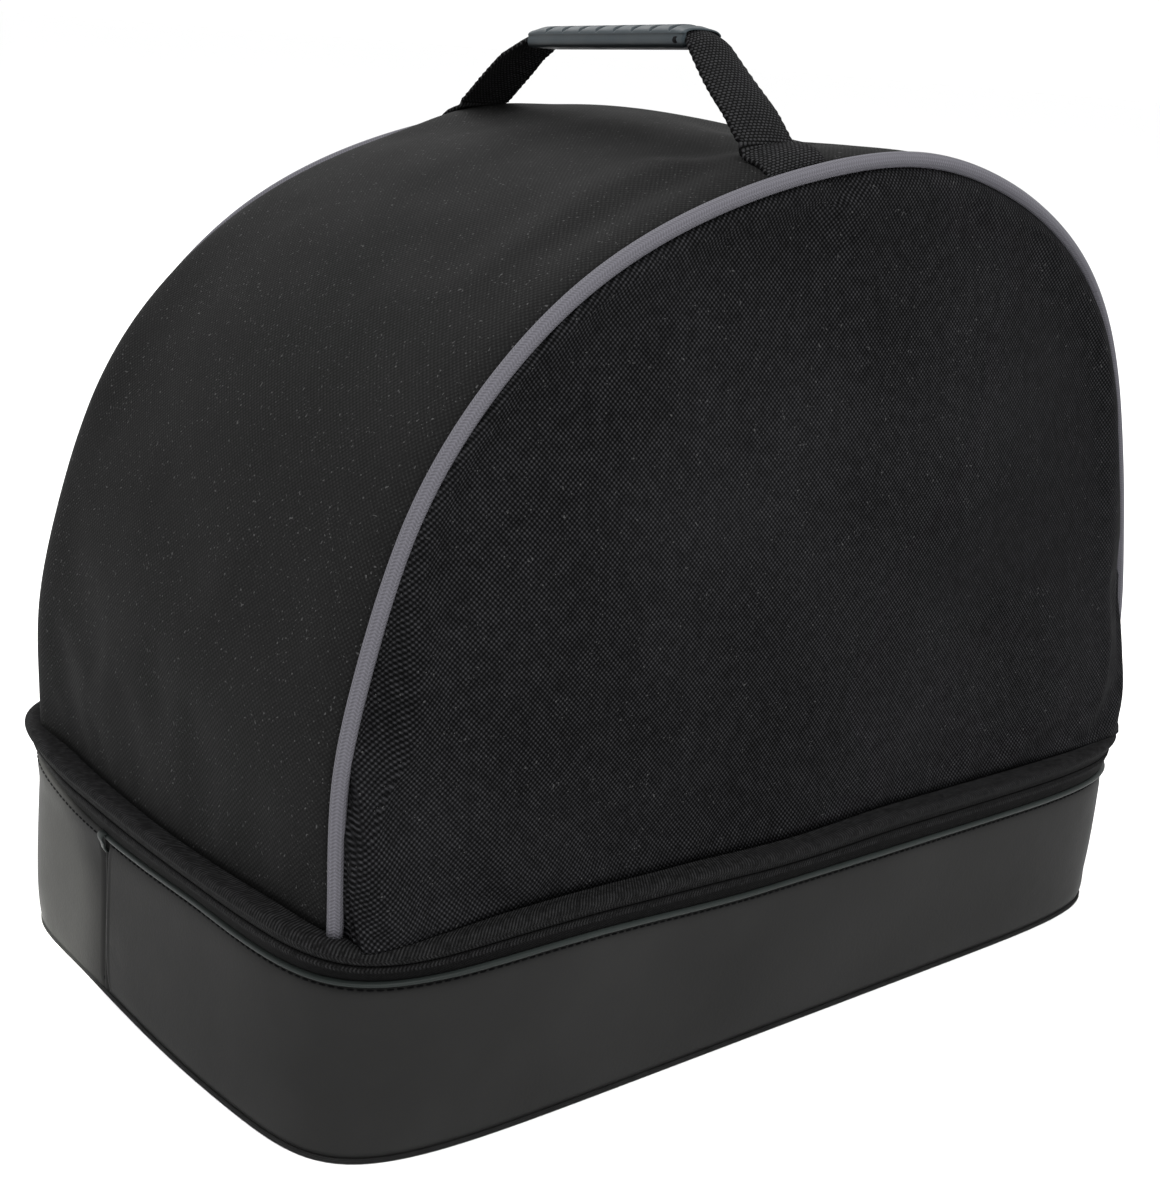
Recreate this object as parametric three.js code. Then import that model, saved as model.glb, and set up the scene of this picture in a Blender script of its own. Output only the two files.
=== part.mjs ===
import * as THREE from "three";
import { mergeVertices } from "three/addons/utils/BufferGeometryUtils.js";

// A helmet bag: a padded D-shaped dome with piped edges, zipped to a shallow leathercloth base.
// Millimetres, +Z up. It stands on Z = 0 with its origin under its middle, and its front faces -Y.

// Driving sizes of the base
const bag_width = 430;
const bag_depth = 265;
const base_height = 65.3;
const corner_squareness = 6.8;
const foot_squareness = 8.2;
const foot_taper_side = 0.5;
const foot_taper_front = 6;
const wall = 3;
const floor_thickness = 2;
const floor_setback = 1;
const seam_setback = 104;
const clearance = 0.3;

// Driving sizes of the welt, the zip and its tapes
const welt_height = 2.4;
const welt_depth = 4.5;
const welt_stand_out = 1.1;
const lower_tape_height = 7;
const coil_thickness = 2;
const upper_tape_height = 5.2;
const zip_stand_out = 1.5;
const lip_stand_out = 4;
const lip_stand_out_front = 1;
const crease_setback_side = 2;
const crease_setback_front = 7;
const tape_thickness = 5;
const hinge_end_setback = 40;
const slider_length = 14;
const slider_width = 9;
const slider_stand_out = 4;

// Driving sizes of the dome
const dome_rise = 247;
const dome_inset = 6.5;
const dome_shift = 1.5;
const dome_lean = 28;
const piping_setback = 26.5;
const piping_thickness = 5.4;
const padding = 5;
const side_crown = 5;
const top_crown = 2;
const panel_belly = 12;
const panel_foot_setback = 1;

// Driving sizes of the handle
const handle_shift = -22;
const webbing_width = 27;
const webbing_width_at_grip = 16;
const webbing_thickness = 2;
const foot_length = 16;
const foot_skew = 3.5;
const handle_rise = 30.5;
const grip_length = 108;
const grip_width = 19;
const grip_thickness = 9.6;
const grip_tilt = 2.2;
const grip_skew = 7.5;

// How finely round things are divided
const plan_steps = 64;
const arch_steps = 28;
const panel_rows = 6;
const gusset_rows = 4;

// Heights and planes that follow from the sizes
const half_width = bag_width / 2;
const half_depth = bag_depth / 2;
const welt_foot = base_height + clearance;
const lower_tape_foot = welt_foot + welt_height + clearance;
const coil_foot = lower_tape_foot + lower_tape_height + clearance;
const upper_tape_foot = coil_foot + coil_thickness + clearance;
const crease = upper_tape_foot + upper_tape_height;
const dome_foot = crease + clearance;
const piping_radius = piping_thickness / 2;
const piping_plane = half_depth - piping_setback;
const gusset_half = piping_plane - piping_radius - clearance;
const dome_half_width = half_width - dome_inset;
const dome_top = dome_foot + dome_rise;

// The dome's arch from its foot to its top: shares of its half width and of its rise
const ARCH = [
  { out: 1.0, up: 0.0 },
  { out: 0.993, up: 0.21 },
  { out: 0.964, up: 0.338 },
  { out: 0.886, up: 0.541 },
  { out: 0.789, up: 0.691 },
  { out: 0.647, up: 0.82 },
  { out: 0.46, up: 0.913 },
  { out: 0.24, up: 0.974 },
  { out: 0.0, up: 1.0 },
];

// Finishes
const panel_cloth = new THREE.MeshStandardMaterial({ color: 0x17171a, roughness: 0.9, metalness: 0 });
const gusset_cloth = new THREE.MeshStandardMaterial({ color: 0x1b1b1d, roughness: 0.92, metalness: 0 });
const braid = new THREE.MeshStandardMaterial({ color: 0x767880, roughness: 0.8, metalness: 0 });
const tape_cloth = new THREE.MeshStandardMaterial({ color: 0x2a2a2a, roughness: 0.85, metalness: 0 });
const coil_plastic = new THREE.MeshStandardMaterial({ color: 0x1f1f20, roughness: 0.5, metalness: 0 });
const slider_metal = new THREE.MeshStandardMaterial({ color: 0x2c2c2e, roughness: 0.4, metalness: 0.6 });
const leathercloth = new THREE.MeshStandardMaterial({ color: 0x353535, roughness: 0.55, metalness: 0 });
const welt_leathercloth = new THREE.MeshStandardMaterial({ color: 0x4a5250, roughness: 0.5, metalness: 0 });
const webbing = new THREE.MeshStandardMaterial({ color: 0x202021, roughness: 0.9, metalness: 0 });
const moulded = new THREE.MeshStandardMaterial({ color: 0x45494c, roughness: 0.5, metalness: 0 });

const bag = new THREE.Group();

// A closed body from points and triangles, with its faces turned outward
function addSolid(name, points, triangles, material) {
  const raw = new THREE.BufferGeometry();
  raw.setAttribute("position", new THREE.Float32BufferAttribute(points.flatMap((p) => [p.x, p.y, p.z]), 3));
  raw.setIndex(triangles.flat());
  const merged = mergeVertices(raw, 1e-4);
  const place = merged.getAttribute("position");
  const index = merged.getIndex().array;
  const corner = [new THREE.Vector3(), new THREE.Vector3(), new THREE.Vector3()];
  const kept = [];
  let volume = 0;
  for (let i = 0; i < index.length; i += 3) {
    const [a, b, c] = [index[i], index[i + 1], index[i + 2]];
    if (a === b || b === c || a === c) continue;
    [a, b, c].forEach((v, k) => corner[k].fromBufferAttribute(place, v));
    volume += corner[0].dot(corner[1].cross(corner[2]));
    kept.push([a, b, c]);
  }
  merged.setIndex(kept.map(([a, b, c]) => (volume > 0 ? [a, b, c] : [a, c, b])).flat());
  merged.computeVertexNormals();
  const mesh = new THREE.Mesh(merged, material);
  mesh.name = name;
  bag.add(mesh);
}

// A sheet with thickness between two grids of points. Its rows may close into a ring.
function addSlab(name, outer, inner, material, ring = false) {
  const rows = outer.length;
  const across = outer[0].length;
  const points = [...outer.flat(), ...inner.flat()];
  const at = (side, row, j) => side * rows * across + (row % rows) * across + j;
  const triangles = [];
  const quad = (a, b, c, d) => triangles.push([a, b, c], [a, c, d]);
  const spans = ring ? rows : rows - 1;
  for (let i = 0; i < spans; i += 1) {
    for (let j = 0; j < across - 1; j += 1) {
      quad(at(0, i, j), at(0, i, j + 1), at(0, i + 1, j + 1), at(0, i + 1, j));
      quad(at(1, i, j), at(1, i + 1, j), at(1, i + 1, j + 1), at(1, i, j + 1));
    }
    quad(at(0, i, 0), at(0, i + 1, 0), at(1, i + 1, 0), at(1, i, 0));
    quad(at(0, i, across - 1), at(1, i, across - 1), at(1, i + 1, across - 1), at(0, i + 1, across - 1));
  }
  if (!ring) {
    for (let j = 0; j < across - 1; j += 1) {
      quad(at(0, 0, j), at(1, 0, j), at(1, 0, j + 1), at(0, 0, j + 1));
      quad(at(0, rows - 1, j), at(0, rows - 1, j + 1), at(1, rows - 1, j + 1), at(1, rows - 1, j));
    }
  }
  addSolid(name, points, triangles, material);
}

// A rod through closed convex sections, each a loop of as many points
function addRod(name, sections, material) {
  const sides = sections[0].length;
  const triangles = [];
  for (let i = 0; i < sections.length - 1; i += 1) {
    for (let j = 0; j < sides; j += 1) {
      const next = (j + 1) % sides;
      const [a, b, c, d] = [i * sides + j, i * sides + next, (i + 1) * sides + next, (i + 1) * sides + j];
      triangles.push([a, b, c], [a, c, d]);
    }
  }
  const last = (sections.length - 1) * sides;
  for (let j = 1; j < sides - 1; j += 1) {
    triangles.push([0, j + 1, j], [last, last + j, last + j + 1]);
  }
  addSolid(name, sections.flat(), triangles, material);
}

// Distance from the middle to the base's outline in one direction, for given half sizes
function outlineReach(angle, half_x, half_y, squareness = corner_squareness) {
  const x = Math.abs(Math.cos(angle)) / half_x;
  const y = Math.abs(Math.sin(angle)) / half_y;
  return (x ** squareness + y ** squareness) ** (-1 / squareness);
}

// Directions round the outline, closer together where it turns, starting behind the left side
function outlineDirections(count) {
  const fine = 1440;
  const point = (k) => {
    const angle = (2 * Math.PI * k) / fine;
    const reach = outlineReach(angle, half_width, half_depth);
    return new THREE.Vector2(reach * Math.cos(angle), reach * Math.sin(angle));
  };
  const travelled = [0];
  for (let k = 0; k < fine; k += 1) {
    const before = point(k).sub(point(k - 1));
    const after = point(k + 1).sub(point(k));
    const turn = Math.abs(Math.atan2(before.cross(after), before.dot(after)));
    travelled.push(travelled[k] + after.length() / half_width + 2.5 * turn);
  }
  const directions = [];
  let k = 0;
  for (let i = 0; i < count; i += 1) {
    const wanted = (travelled[fine] * i) / count;
    while (travelled[k + 1] < wanted) k += 1;
    const share = (wanted - travelled[k]) / (travelled[k + 1] - travelled[k]);
    directions.push((2 * Math.PI * (k + share)) / fine);
  }
  return directions;
}

const ROUND = outlineDirections(plan_steps);

// How far back the outline reaches at one width, for given half sizes
function outlineDepth(x, half_x, half_y) {
  return half_y * (1 - (Math.abs(x) / half_x) ** corner_squareness) ** (1 / corner_squareness);
}

// The direction of the point where the outline, on one side, passes a given depth
function directionAtDepth(y, side) {
  return Math.atan2(y, side * outlineDepth(y, half_depth, half_width));
}

// The direction of the point where the outline's back passes a given width
function directionAtWidth(x) {
  return Math.atan2(outlineDepth(x, half_width, half_depth), x);
}

// The directions between two given ones, with both ends
function directionsBetween(from, to) {
  const turn = 2 * Math.PI;
  const lift = (angle) => (angle <= from ? angle + turn : angle);
  const end = to <= from ? to + turn : to;
  const margin = 0.02;
  const between = ROUND.map(lift).filter((a) => a > from + margin && a < end - margin).sort((a, b) => a - b);
  return [from, ...between, end];
}

// One point on the outline moved out to the side and to the front by its own amounts
function outlinePoint(angle, out_side, out_front, z, squareness) {
  const reach = outlineReach(angle, half_width + out_side, half_depth + out_front, squareness);
  return new THREE.Vector3(reach * Math.cos(angle), reach * Math.sin(angle), z);
}

// A strip that follows the outline, from a table of its outer and inner edges
function addOutlineStrip(name, directions, outer, inner, material, ring) {
  const point = (angle, row) => outlinePoint(angle, row.side, row.front, row.z, row.squareness);
  const grid = (rows) => directions.map((angle) => rows.map((row) => point(angle, row)));
  addSlab(name, grid(outer), grid(inner), material, ring);
}

// Base: a leathercloth wall in two lengths, joined by a seam on each side, and a floor
const wall_foot = floor_thickness + clearance;
const WALL_ROWS = [
  { taper: 1, rise: 0 },
  { taper: 0.35, rise: 0.42 },
  { taper: 0, rise: 1 },
];
function wallRows(inset) {
  return WALL_ROWS.map((row) => ({
    side: -foot_taper_side * row.taper - inset,
    front: -foot_taper_front * row.taper - inset,
    z: wall_foot + (base_height - wall_foot) * row.rise,
    squareness: corner_squareness + (foot_squareness - corner_squareness) * row.taper,
  }));
}
const seam_depth = half_depth - seam_setback;
const seam_gap = clearance / half_width / 2;
const left_seam = directionAtDepth(seam_depth, -1);
const right_seam = directionAtDepth(seam_depth, 1);
const front_run = directionsBetween(left_seam + seam_gap, right_seam - seam_gap);
const back_run = directionsBetween(right_seam + seam_gap, left_seam - seam_gap);
addOutlineStrip("base_wrap_front", front_run, wallRows(0), wallRows(wall), leathercloth, false);
addOutlineStrip("base_wrap_back", back_run, wallRows(0), wallRows(wall), leathercloth, false);

const floor_outline = new THREE.Shape(ROUND.map((angle) => {
  const inset = foot_taper_side + floor_setback;
  const p = outlinePoint(angle, -inset, -foot_taper_front - floor_setback, 0, foot_squareness);
  return new THREE.Vector2(p.x, p.y);
}));
const floor_form = new THREE.ExtrudeGeometry(floor_outline, { depth: floor_thickness, bevelEnabled: false });
floor_form.deleteAttribute("normal");
floor_form.deleteAttribute("uv");
const floor_panel = new THREE.Mesh(mergeVertices(floor_form, 1e-4), leathercloth);
floor_panel.name = "base_bottom";
bag.add(floor_panel);

// Welt: the rolled edge on top of the wall
const WELT_ROWS = [
  { out: 0, rise: 0 },
  { out: 1, rise: 0.5 },
  { out: 0, rise: 1 },
];
const welt_outer = WELT_ROWS.map((row) => ({
  side: welt_stand_out * row.out,
  front: welt_stand_out * row.out,
  z: welt_foot + welt_height * row.rise,
}));
const welt_inner = welt_outer.map((row) => ({ side: -welt_depth, front: -welt_depth, z: row.z }));
addOutlineStrip("base_welt", ROUND, welt_outer, welt_inner, welt_leathercloth, true);

// Tapes: the lower one leans out to the lip, the upper one rolls back in to the crease
const lower_rows = [
  { side: 0, front: 0, z: lower_tape_foot },
  { side: zip_stand_out, front: 0, z: lower_tape_foot + lower_tape_height },
];
const lower_inner = lower_rows.map((row) => ({ side: -tape_thickness, front: -tape_thickness, z: row.z }));
addOutlineStrip("zip_band_lower", ROUND, lower_rows, lower_inner, tape_cloth, true);

const UPPER_ROWS = [
  { zip: 1, lip: 0, crease: 0, rise: 0 },
  { zip: 0, lip: 1, crease: 0, rise: 0.45 },
  { zip: 0, lip: 0, crease: 1, rise: 1 },
];
const upper_rows = UPPER_ROWS.map((row) => ({
  side: zip_stand_out * row.zip + lip_stand_out * row.lip - crease_setback_side * row.crease,
  front: lip_stand_out_front * row.lip - crease_setback_front * row.crease,
  z: upper_tape_foot + upper_tape_height * row.rise,
}));
const upper_inner = upper_rows.map((row) => ({
  side: -dome_inset - dome_shift - padding,
  front: -crease_setback_front - padding,
  z: row.z,
}));
addOutlineStrip("zip_band_upper", ROUND, upper_rows, upper_inner, tape_cloth, true);

// Coil: round three sides, between the tapes, with a cloth hinge in its place along the back
const coil_radius = coil_thickness / 2;
const hinge_half = half_width - hinge_end_setback;
const coil_sides = 6;
const coil_height = coil_foot + coil_radius;
const hinge_right = directionAtWidth(hinge_half);
const hinge_left = directionAtWidth(-hinge_half);
const coil_run = directionsBetween(hinge_left + seam_gap, hinge_right - seam_gap);
function coilSection(angle) {
  const section = [];
  for (let k = 0; k < coil_sides; k += 1) {
    const round = (2 * Math.PI * (k + 0.5)) / coil_sides;
    const out = coil_radius * Math.cos(round);
    const up = coil_radius * Math.sin(round);
    section.push(outlinePoint(angle, out + zip_stand_out - coil_radius, out - coil_radius, coil_height + up));
  }
  return section;
}
addRod("zip_coil", coil_run.map(coilSection), coil_plastic);

const hinge_run = directionsBetween(hinge_right + seam_gap, hinge_left - seam_gap);
const hinge_rows = [
  { side: 0, front: 0, z: coil_foot },
  { side: 0, front: 0, z: coil_foot + coil_thickness },
];
const hinge_inner = hinge_rows.map((row) => ({ side: -tape_thickness, front: -tape_thickness, z: row.z }));
addOutlineStrip("back_hinge", hinge_run, hinge_rows, hinge_inner, tape_cloth, false);

// Slider: a plain block over the coil's end at the back
const slider_form = new THREE.BoxGeometry(slider_length, slider_stand_out, slider_width);
const slider = new THREE.Mesh(slider_form, slider_metal);
const slider_x = hinge_half + slider_length / 2 + clearance;
const slider_face = outlineDepth(hinge_half, half_width + lip_stand_out, half_depth + lip_stand_out_front);
slider.position.set(slider_x, slider_face + clearance + slider_stand_out / 2, coil_height);
slider.name = "zip_slider";
bag.add(slider);

// Arch: points from the left foot over the top to the right foot, with directions pointing outward.
// It leans, and its crown flattens, only toward the top.
const top_onset = 6;
const left_corners = ARCH.map((row) => [-row.out, row.up]);
const right_corners = ARCH.slice(0, -1).reverse().map((row) => [row.out, row.up]);
const arch_corners = [...left_corners, ...right_corners];
const arch_curve = new THREE.CatmullRomCurve3(
  arch_corners.map(([x, z]) => new THREE.Vector3(x * dome_half_width, 0, z * dome_rise)),
);
const ARCH_POINTS = arch_curve.getSpacedPoints(arch_steps).map((p, i) => {
  const along = arch_curve.getTangentAt(i / arch_steps);
  const at_foot = i === 0 || i === arch_steps;
  const outward = at_foot ? new THREE.Vector3(Math.sign(p.x), 0, 0) : new THREE.Vector3(-along.z, 0, along.x);
  return { x: p.x, up: p.z, outward };
});
function archPoint(step, out, y) {
  const { x, up, outward } = ARCH_POINTS[step];
  const lean = dome_shift + dome_lean * (up / dome_rise) ** top_onset;
  return new THREE.Vector3(lean + x + outward.x * out, y, dome_foot + up + outward.z * out);
}

// Gusset: crowned between the two lines of piping, more so at the top than at the feet
function crownAt(step) {
  return side_crown + (top_crown - side_crown) * (ARCH_POINTS[step].up / dome_rise) ** top_onset;
}
function gussetGrid(inset) {
  return ARCH_POINTS.map((point, step) => {
    const row = [];
    for (let j = 0; j <= gusset_rows; j += 1) {
      const across = (2 * j) / gusset_rows - 1;
      row.push(archPoint(step, crownAt(step) * (1 - across ** 2) - inset, across * gusset_half));
    }
    return row;
  });
}
addSlab("gusset", gussetGrid(0), gussetGrid(padding), gusset_cloth);

// Piping: a cord round each end of the gusset
const piping_sides = 8;
function pipingSections(y) {
  return ARCH_POINTS.map((point, step) => {
    const section = [];
    for (let k = 0; k < piping_sides; k += 1) {
      const angle = (2 * Math.PI * (k + 0.5)) / piping_sides;
      const out = piping_radius * Math.cos(angle);
      section.push(archPoint(step, out - piping_radius, y + piping_radius * Math.sin(angle)));
    }
    return section;
  });
}
addRod("piping_front", pipingSections(-piping_plane), braid);
addRod("piping_back", pipingSections(piping_plane), braid);

// Panels: from the crease up to the piping, bellied out in between
const panel_edge = piping_thickness + clearance;
const panel_rim = piping_plane - piping_radius + padding;
const panel_foot = half_depth - crease_setback_front - panel_foot_setback;
const foot_bunching = 0.25;
function panelGrid(side, inset) {
  const half_foot = dome_half_width - panel_edge;
  return ARCH_POINTS.map((point, step) => {
    const top = archPoint(step, -panel_edge, 0);
    const share = Math.min(1, Math.abs(point.x) / dome_half_width) ** (1 + foot_bunching);
    const foot_x = dome_shift + Math.sign(point.x) * share * half_foot;
    const bow = (1 - share ** corner_squareness) ** (1 / corner_squareness);
    const foot_y = panel_rim + (panel_foot - panel_rim) * bow;
    const row = [];
    for (let j = 0; j <= panel_rows; j += 1) {
      const v = j / panel_rows;
      const belly = panel_belly * Math.sin(Math.PI * v) * (point.up / dome_rise);
      row.push(new THREE.Vector3(
        foot_x + (top.x - foot_x) * v,
        side * (foot_y + (panel_rim - foot_y) * v + belly - inset),
        dome_foot + (top.z - dome_foot) * v,
      ));
    }
    return row;
  });
}
addSlab("front_panel", panelGrid(-1, 0), panelGrid(-1, padding), panel_cloth);
addSlab("back_panel", panelGrid(1, 0), panelGrid(1, padding), panel_cloth);

// The gusset's height above the floor at one place near its top
function gussetTop(x, y) {
  const steps = ARCH_POINTS.map((point, step) => archPoint(step, 0, 0));
  const after = steps.findIndex((p) => p.x > x);
  const [a, b] = [steps[after - 1], steps[after]];
  const arch = a.z + ((b.z - a.z) * (x - a.x)) / (b.x - a.x);
  return arch + top_crown * (1 - (y / gusset_half) ** 2);
}

// Handle: webbing sewn down beside each line of piping, folded up there and risen to the grip
const grip_half = grip_length / 2;
const grip_middle = gussetTop(handle_shift, 0) + handle_rise + grip_thickness / 2;
const strap_end = gusset_half - clearance;
const fold = strap_end - foot_length;
const strap_lift = clearance + webbing_thickness / 2;
function strapGrid(side, face) {
  const acrossAt = (share) => {
    const middle = handle_shift + side * (foot_skew + (grip_skew - foot_skew) * share);
    const width = webbing_width + (webbing_width_at_grip - webbing_width) * share;
    return [-1, 0, 1].map((edge) => middle + (edge * width) / 2);
  };
  const edges = acrossAt(0);
  const grip_end = grip_half + clearance;
  const grip_height = grip_middle - side * grip_tilt;
  const rise = grip_height - gussetTop(handle_shift, fold) - strap_lift;
  const riser = Math.atan2(rise, fold - grip_end);
  const half = (face * webbing_thickness) / 2;
  const foot_rows = [strap_end, strap_end - foot_length / 2, fold + webbing_thickness].map((y) => (
    edges.map((x) => new THREE.Vector3(x, side * y, gussetTop(x, y) + strap_lift + half))
  ));
  const riser_rows = [0.06, 0.5].map((share) => {
    const y = fold + (grip_end - fold) * share + half * Math.sin(riser);
    const z = grip_height - rise * (1 - share) + half * Math.cos(riser);
    return acrossAt(share).map((x) => new THREE.Vector3(x, side * y, z + webbing_thickness / 2));
  });
  const end_height = grip_height + half / Math.cos(riser);
  const end_row = acrossAt(1).map((x) => new THREE.Vector3(x, side * grip_end, end_height));
  return [...foot_rows, ...riser_rows, end_row];
}
addSlab("handle_strap_front", strapGrid(-1, 1), strapGrid(-1, -1), webbing);
addSlab("handle_strap_back", strapGrid(1, 1), strapGrid(1, -1), webbing);

// Grip: a moulded bar with rounded edges and ends, over the webbing's middle
const GRIP_ROWS = [
  { along: -1, full: 0.78 },
  { along: -0.94, full: 1 },
  { along: 0, full: 1 },
  { along: 0.94, full: 1 },
  { along: 1, full: 0.78 },
];
const grip_sides = 12;
const grip_squareness = 2 / 3.2;
addRod("handle_grip", GRIP_ROWS.map((row) => {
  const section = [];
  for (let k = 0; k < grip_sides; k += 1) {
    const angle = (2 * Math.PI * (k + 0.5)) / grip_sides;
    const round = (value) => Math.sign(value) * Math.abs(value) ** grip_squareness;
    section.push(new THREE.Vector3(
      handle_shift + grip_skew * row.along + (grip_width / 2) * row.full * round(Math.cos(angle)),
      grip_half * row.along,
      grip_middle - grip_tilt * row.along + (grip_thickness / 2) * row.full * round(Math.sin(angle)),
    ));
  }
  return section;
}), moulded);

export default bag;
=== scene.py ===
import math
import random

import bmesh
import bpy
import numpy as np
from mathutils import Matrix, Vector
from mathutils.bvhtree import BVHTree


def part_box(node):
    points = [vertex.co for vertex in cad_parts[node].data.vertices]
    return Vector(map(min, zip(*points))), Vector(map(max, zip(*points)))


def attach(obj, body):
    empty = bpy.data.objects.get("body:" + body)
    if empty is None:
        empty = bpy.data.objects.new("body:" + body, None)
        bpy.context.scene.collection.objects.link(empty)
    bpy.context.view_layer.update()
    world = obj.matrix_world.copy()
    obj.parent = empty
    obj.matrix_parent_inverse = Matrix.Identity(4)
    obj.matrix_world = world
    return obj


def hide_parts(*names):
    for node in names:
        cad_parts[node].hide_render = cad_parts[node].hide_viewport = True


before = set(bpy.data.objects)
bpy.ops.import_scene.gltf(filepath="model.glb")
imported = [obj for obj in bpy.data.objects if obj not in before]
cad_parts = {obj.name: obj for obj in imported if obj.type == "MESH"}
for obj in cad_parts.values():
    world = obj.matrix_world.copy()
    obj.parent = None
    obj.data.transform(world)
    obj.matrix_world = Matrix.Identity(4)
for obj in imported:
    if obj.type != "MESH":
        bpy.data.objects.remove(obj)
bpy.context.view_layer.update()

MM = 0.001
BODY = "root"
TURN = 2 * math.pi

# Camera: its place in metres, the way it looks, and its tilt about that line
CAMERA_PLACE = Vector((-0.5057, -0.5609, 0.3575))
CAMERA_FORWARD = Vector((0.62878, 0.72475, -0.28173))
CAMERA_ROLL = 0.080
CAMERA_FOCAL_PIXELS = 1880.9
IMAGE_LONG_SIDE = 1200
SENSOR = 36.0

# Sizes of the base, in millimetres
BAG_WIDTH = 430.0
BAG_DEPTH = 265.0
HALF_WIDTH = BAG_WIDTH / 2
HALF_DEPTH = BAG_DEPTH / 2
SQUARENESS = 6.8
FOOT_SQUARENESS = 8.2
GAP = 0.3
WALL = 3.0
FLOOR_THICKNESS = 2.0
FOOT_TAPER_SIDE = 0.5
FOOT_TAPER_FRONT = 6.0
BASE_HEIGHT = 65.3
SEAM_SETBACK = 104.0

# Sizes of the welt and the zip's tapes
WELT_HEIGHT = 2.4
WELT_DEPTH = 4.5
LOWER_TAPE_HEIGHT = 7.0
COIL_HEIGHT = 2.0
UPPER_TAPE_HEIGHT = 5.2
ZIP_STAND_OUT = 1.5
LIP_STAND_OUT = 4.0
LIP_STAND_OUT_FRONT = 1.6
CREASE_SETBACK_SIDE = 2.0
CREASE_SETBACK_FRONT = 7.0
TAPE_THICKNESS = 5.0
HINGE_END_SETBACK = 40.0

# Heights that follow
WALL_FOOT = FLOOR_THICKNESS + GAP
WELT_FOOT = BASE_HEIGHT + GAP
LOWER_FOOT = WELT_FOOT + WELT_HEIGHT + GAP
ZIP_FOOT = LOWER_FOOT + LOWER_TAPE_HEIGHT + GAP
UPPER_FOOT = ZIP_FOOT + COIL_HEIGHT + GAP
CREASE = UPPER_FOOT + UPPER_TAPE_HEIGHT
DOME_FOOT = CREASE + GAP
ZIP_LINE = ZIP_FOOT + COIL_HEIGHT / 2

# Sizes of the dome
DOME_RISE = 247.0
DOME_INSET = 6.5
DOME_SHIFT = 1.5
DOME_LEAN = 28.0
TOP_ONSET = 6
SHOULDER_SHIFT = 3.0
RIGHT_SIDE_INSET = 1.5
DOME_HALF = HALF_WIDTH - DOME_INSET
PIPING_SETBACK = 26.5
PIPING = 5.4
PADDING = 5.0
SIDE_CROWN = 5.0
TOP_CROWN = 2.0
TOP_SKEW = 5.0
BACK_ROLL = 5.0
PANEL_BELLY = 12.0
PIPING_PLANE = HALF_DEPTH - PIPING_SETBACK
GUSSET_HALF = PIPING_PLANE - PIPING / 2 - GAP

# Sizes of the handle
HANDLE_SHIFT = -22.0
WEBBING_WIDTH = 27.0
WEBBING_WIDTH_AT_GRIP = 16.0
WEBBING = 2.0
FOOT_LENGTH = 16.0
FOOT_SKEW = 3.5
HANDLE_RISE = 30.4
GRIP_LENGTH = 108.0
GRIP_WIDTH = 19.0
GRIP_THICKNESS = 9.6
GRIP_TILT = 2.2
GRIP_SKEW = 7.5

# The dome's arch from foot to top: shares of its half width and of its rise
ARCH = [
    (0.992, 0.0),
    (0.993, 0.21),
    (0.964, 0.338),
    (0.886, 0.541),
    (0.789, 0.691),
    (0.647, 0.82),
    (0.46, 0.913),
    (0.24, 0.974),
    (0.0, 1.0),
]


# Helpers that make meshes

def new_mesh(name, points, faces, uvs=None, smooth=True):
    """An object from points in millimetres, faces, and one uv pair per face corner, in metres."""
    mesh = bpy.data.meshes.new(name)
    mesh.from_pydata([tuple(c * MM for c in p) for p in points], [], faces)
    if uvs is not None:
        layer = mesh.uv_layers.new(name="cloth")
        flat = [c for uv in uvs for c in uv]
        layer.data.foreach_set("uv", flat)
    mesh.polygons.foreach_set("use_smooth", [smooth] * len(mesh.polygons))
    mesh.update()
    piece = bpy.data.objects.new(name, mesh)
    bpy.context.scene.collection.objects.link(piece)
    return piece


def grid_faces(rows, cols, start=0, around_rows=False, around_cols=False, flip=False):
    """Quads between neighbouring points of a grid of rows by cols points."""
    faces = []
    for i in range(rows if around_rows else rows - 1):
        for j in range(cols if around_cols else cols - 1):
            a = start + i * cols + j
            b = start + i * cols + (j + 1) % cols
            c = start + ((i + 1) % rows) * cols + (j + 1) % cols
            d = start + ((i + 1) % rows) * cols + j
            faces.append((a, d, c, b) if flip else (a, b, c, d))
    return faces


def grid_uvs(us, vs, around_rows=False, around_cols=False, flip=False):
    """The uv corners of grid_faces, in metres, from the distances along rows and columns."""
    corners = []
    rows, cols = len(us), len(vs)
    step_u = us[-1] - us[-2]
    step_v = vs[-1] - vs[-2]
    for i in range(rows if around_rows else rows - 1):
        for j in range(cols if around_cols else cols - 1):
            u0, u1 = us[i], us[i + 1] if i + 1 < rows else us[i] + step_u
            v0, v1 = vs[j], vs[j + 1] if j + 1 < cols else vs[j] + step_v
            ring = [(u0, v0), (u0, v1), (u1, v1), (u1, v0)]
            if flip:
                ring = [ring[0], ring[3], ring[2], ring[1]]
            corners += [(u * MM, v * MM) for u, v in ring]
    return corners


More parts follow.
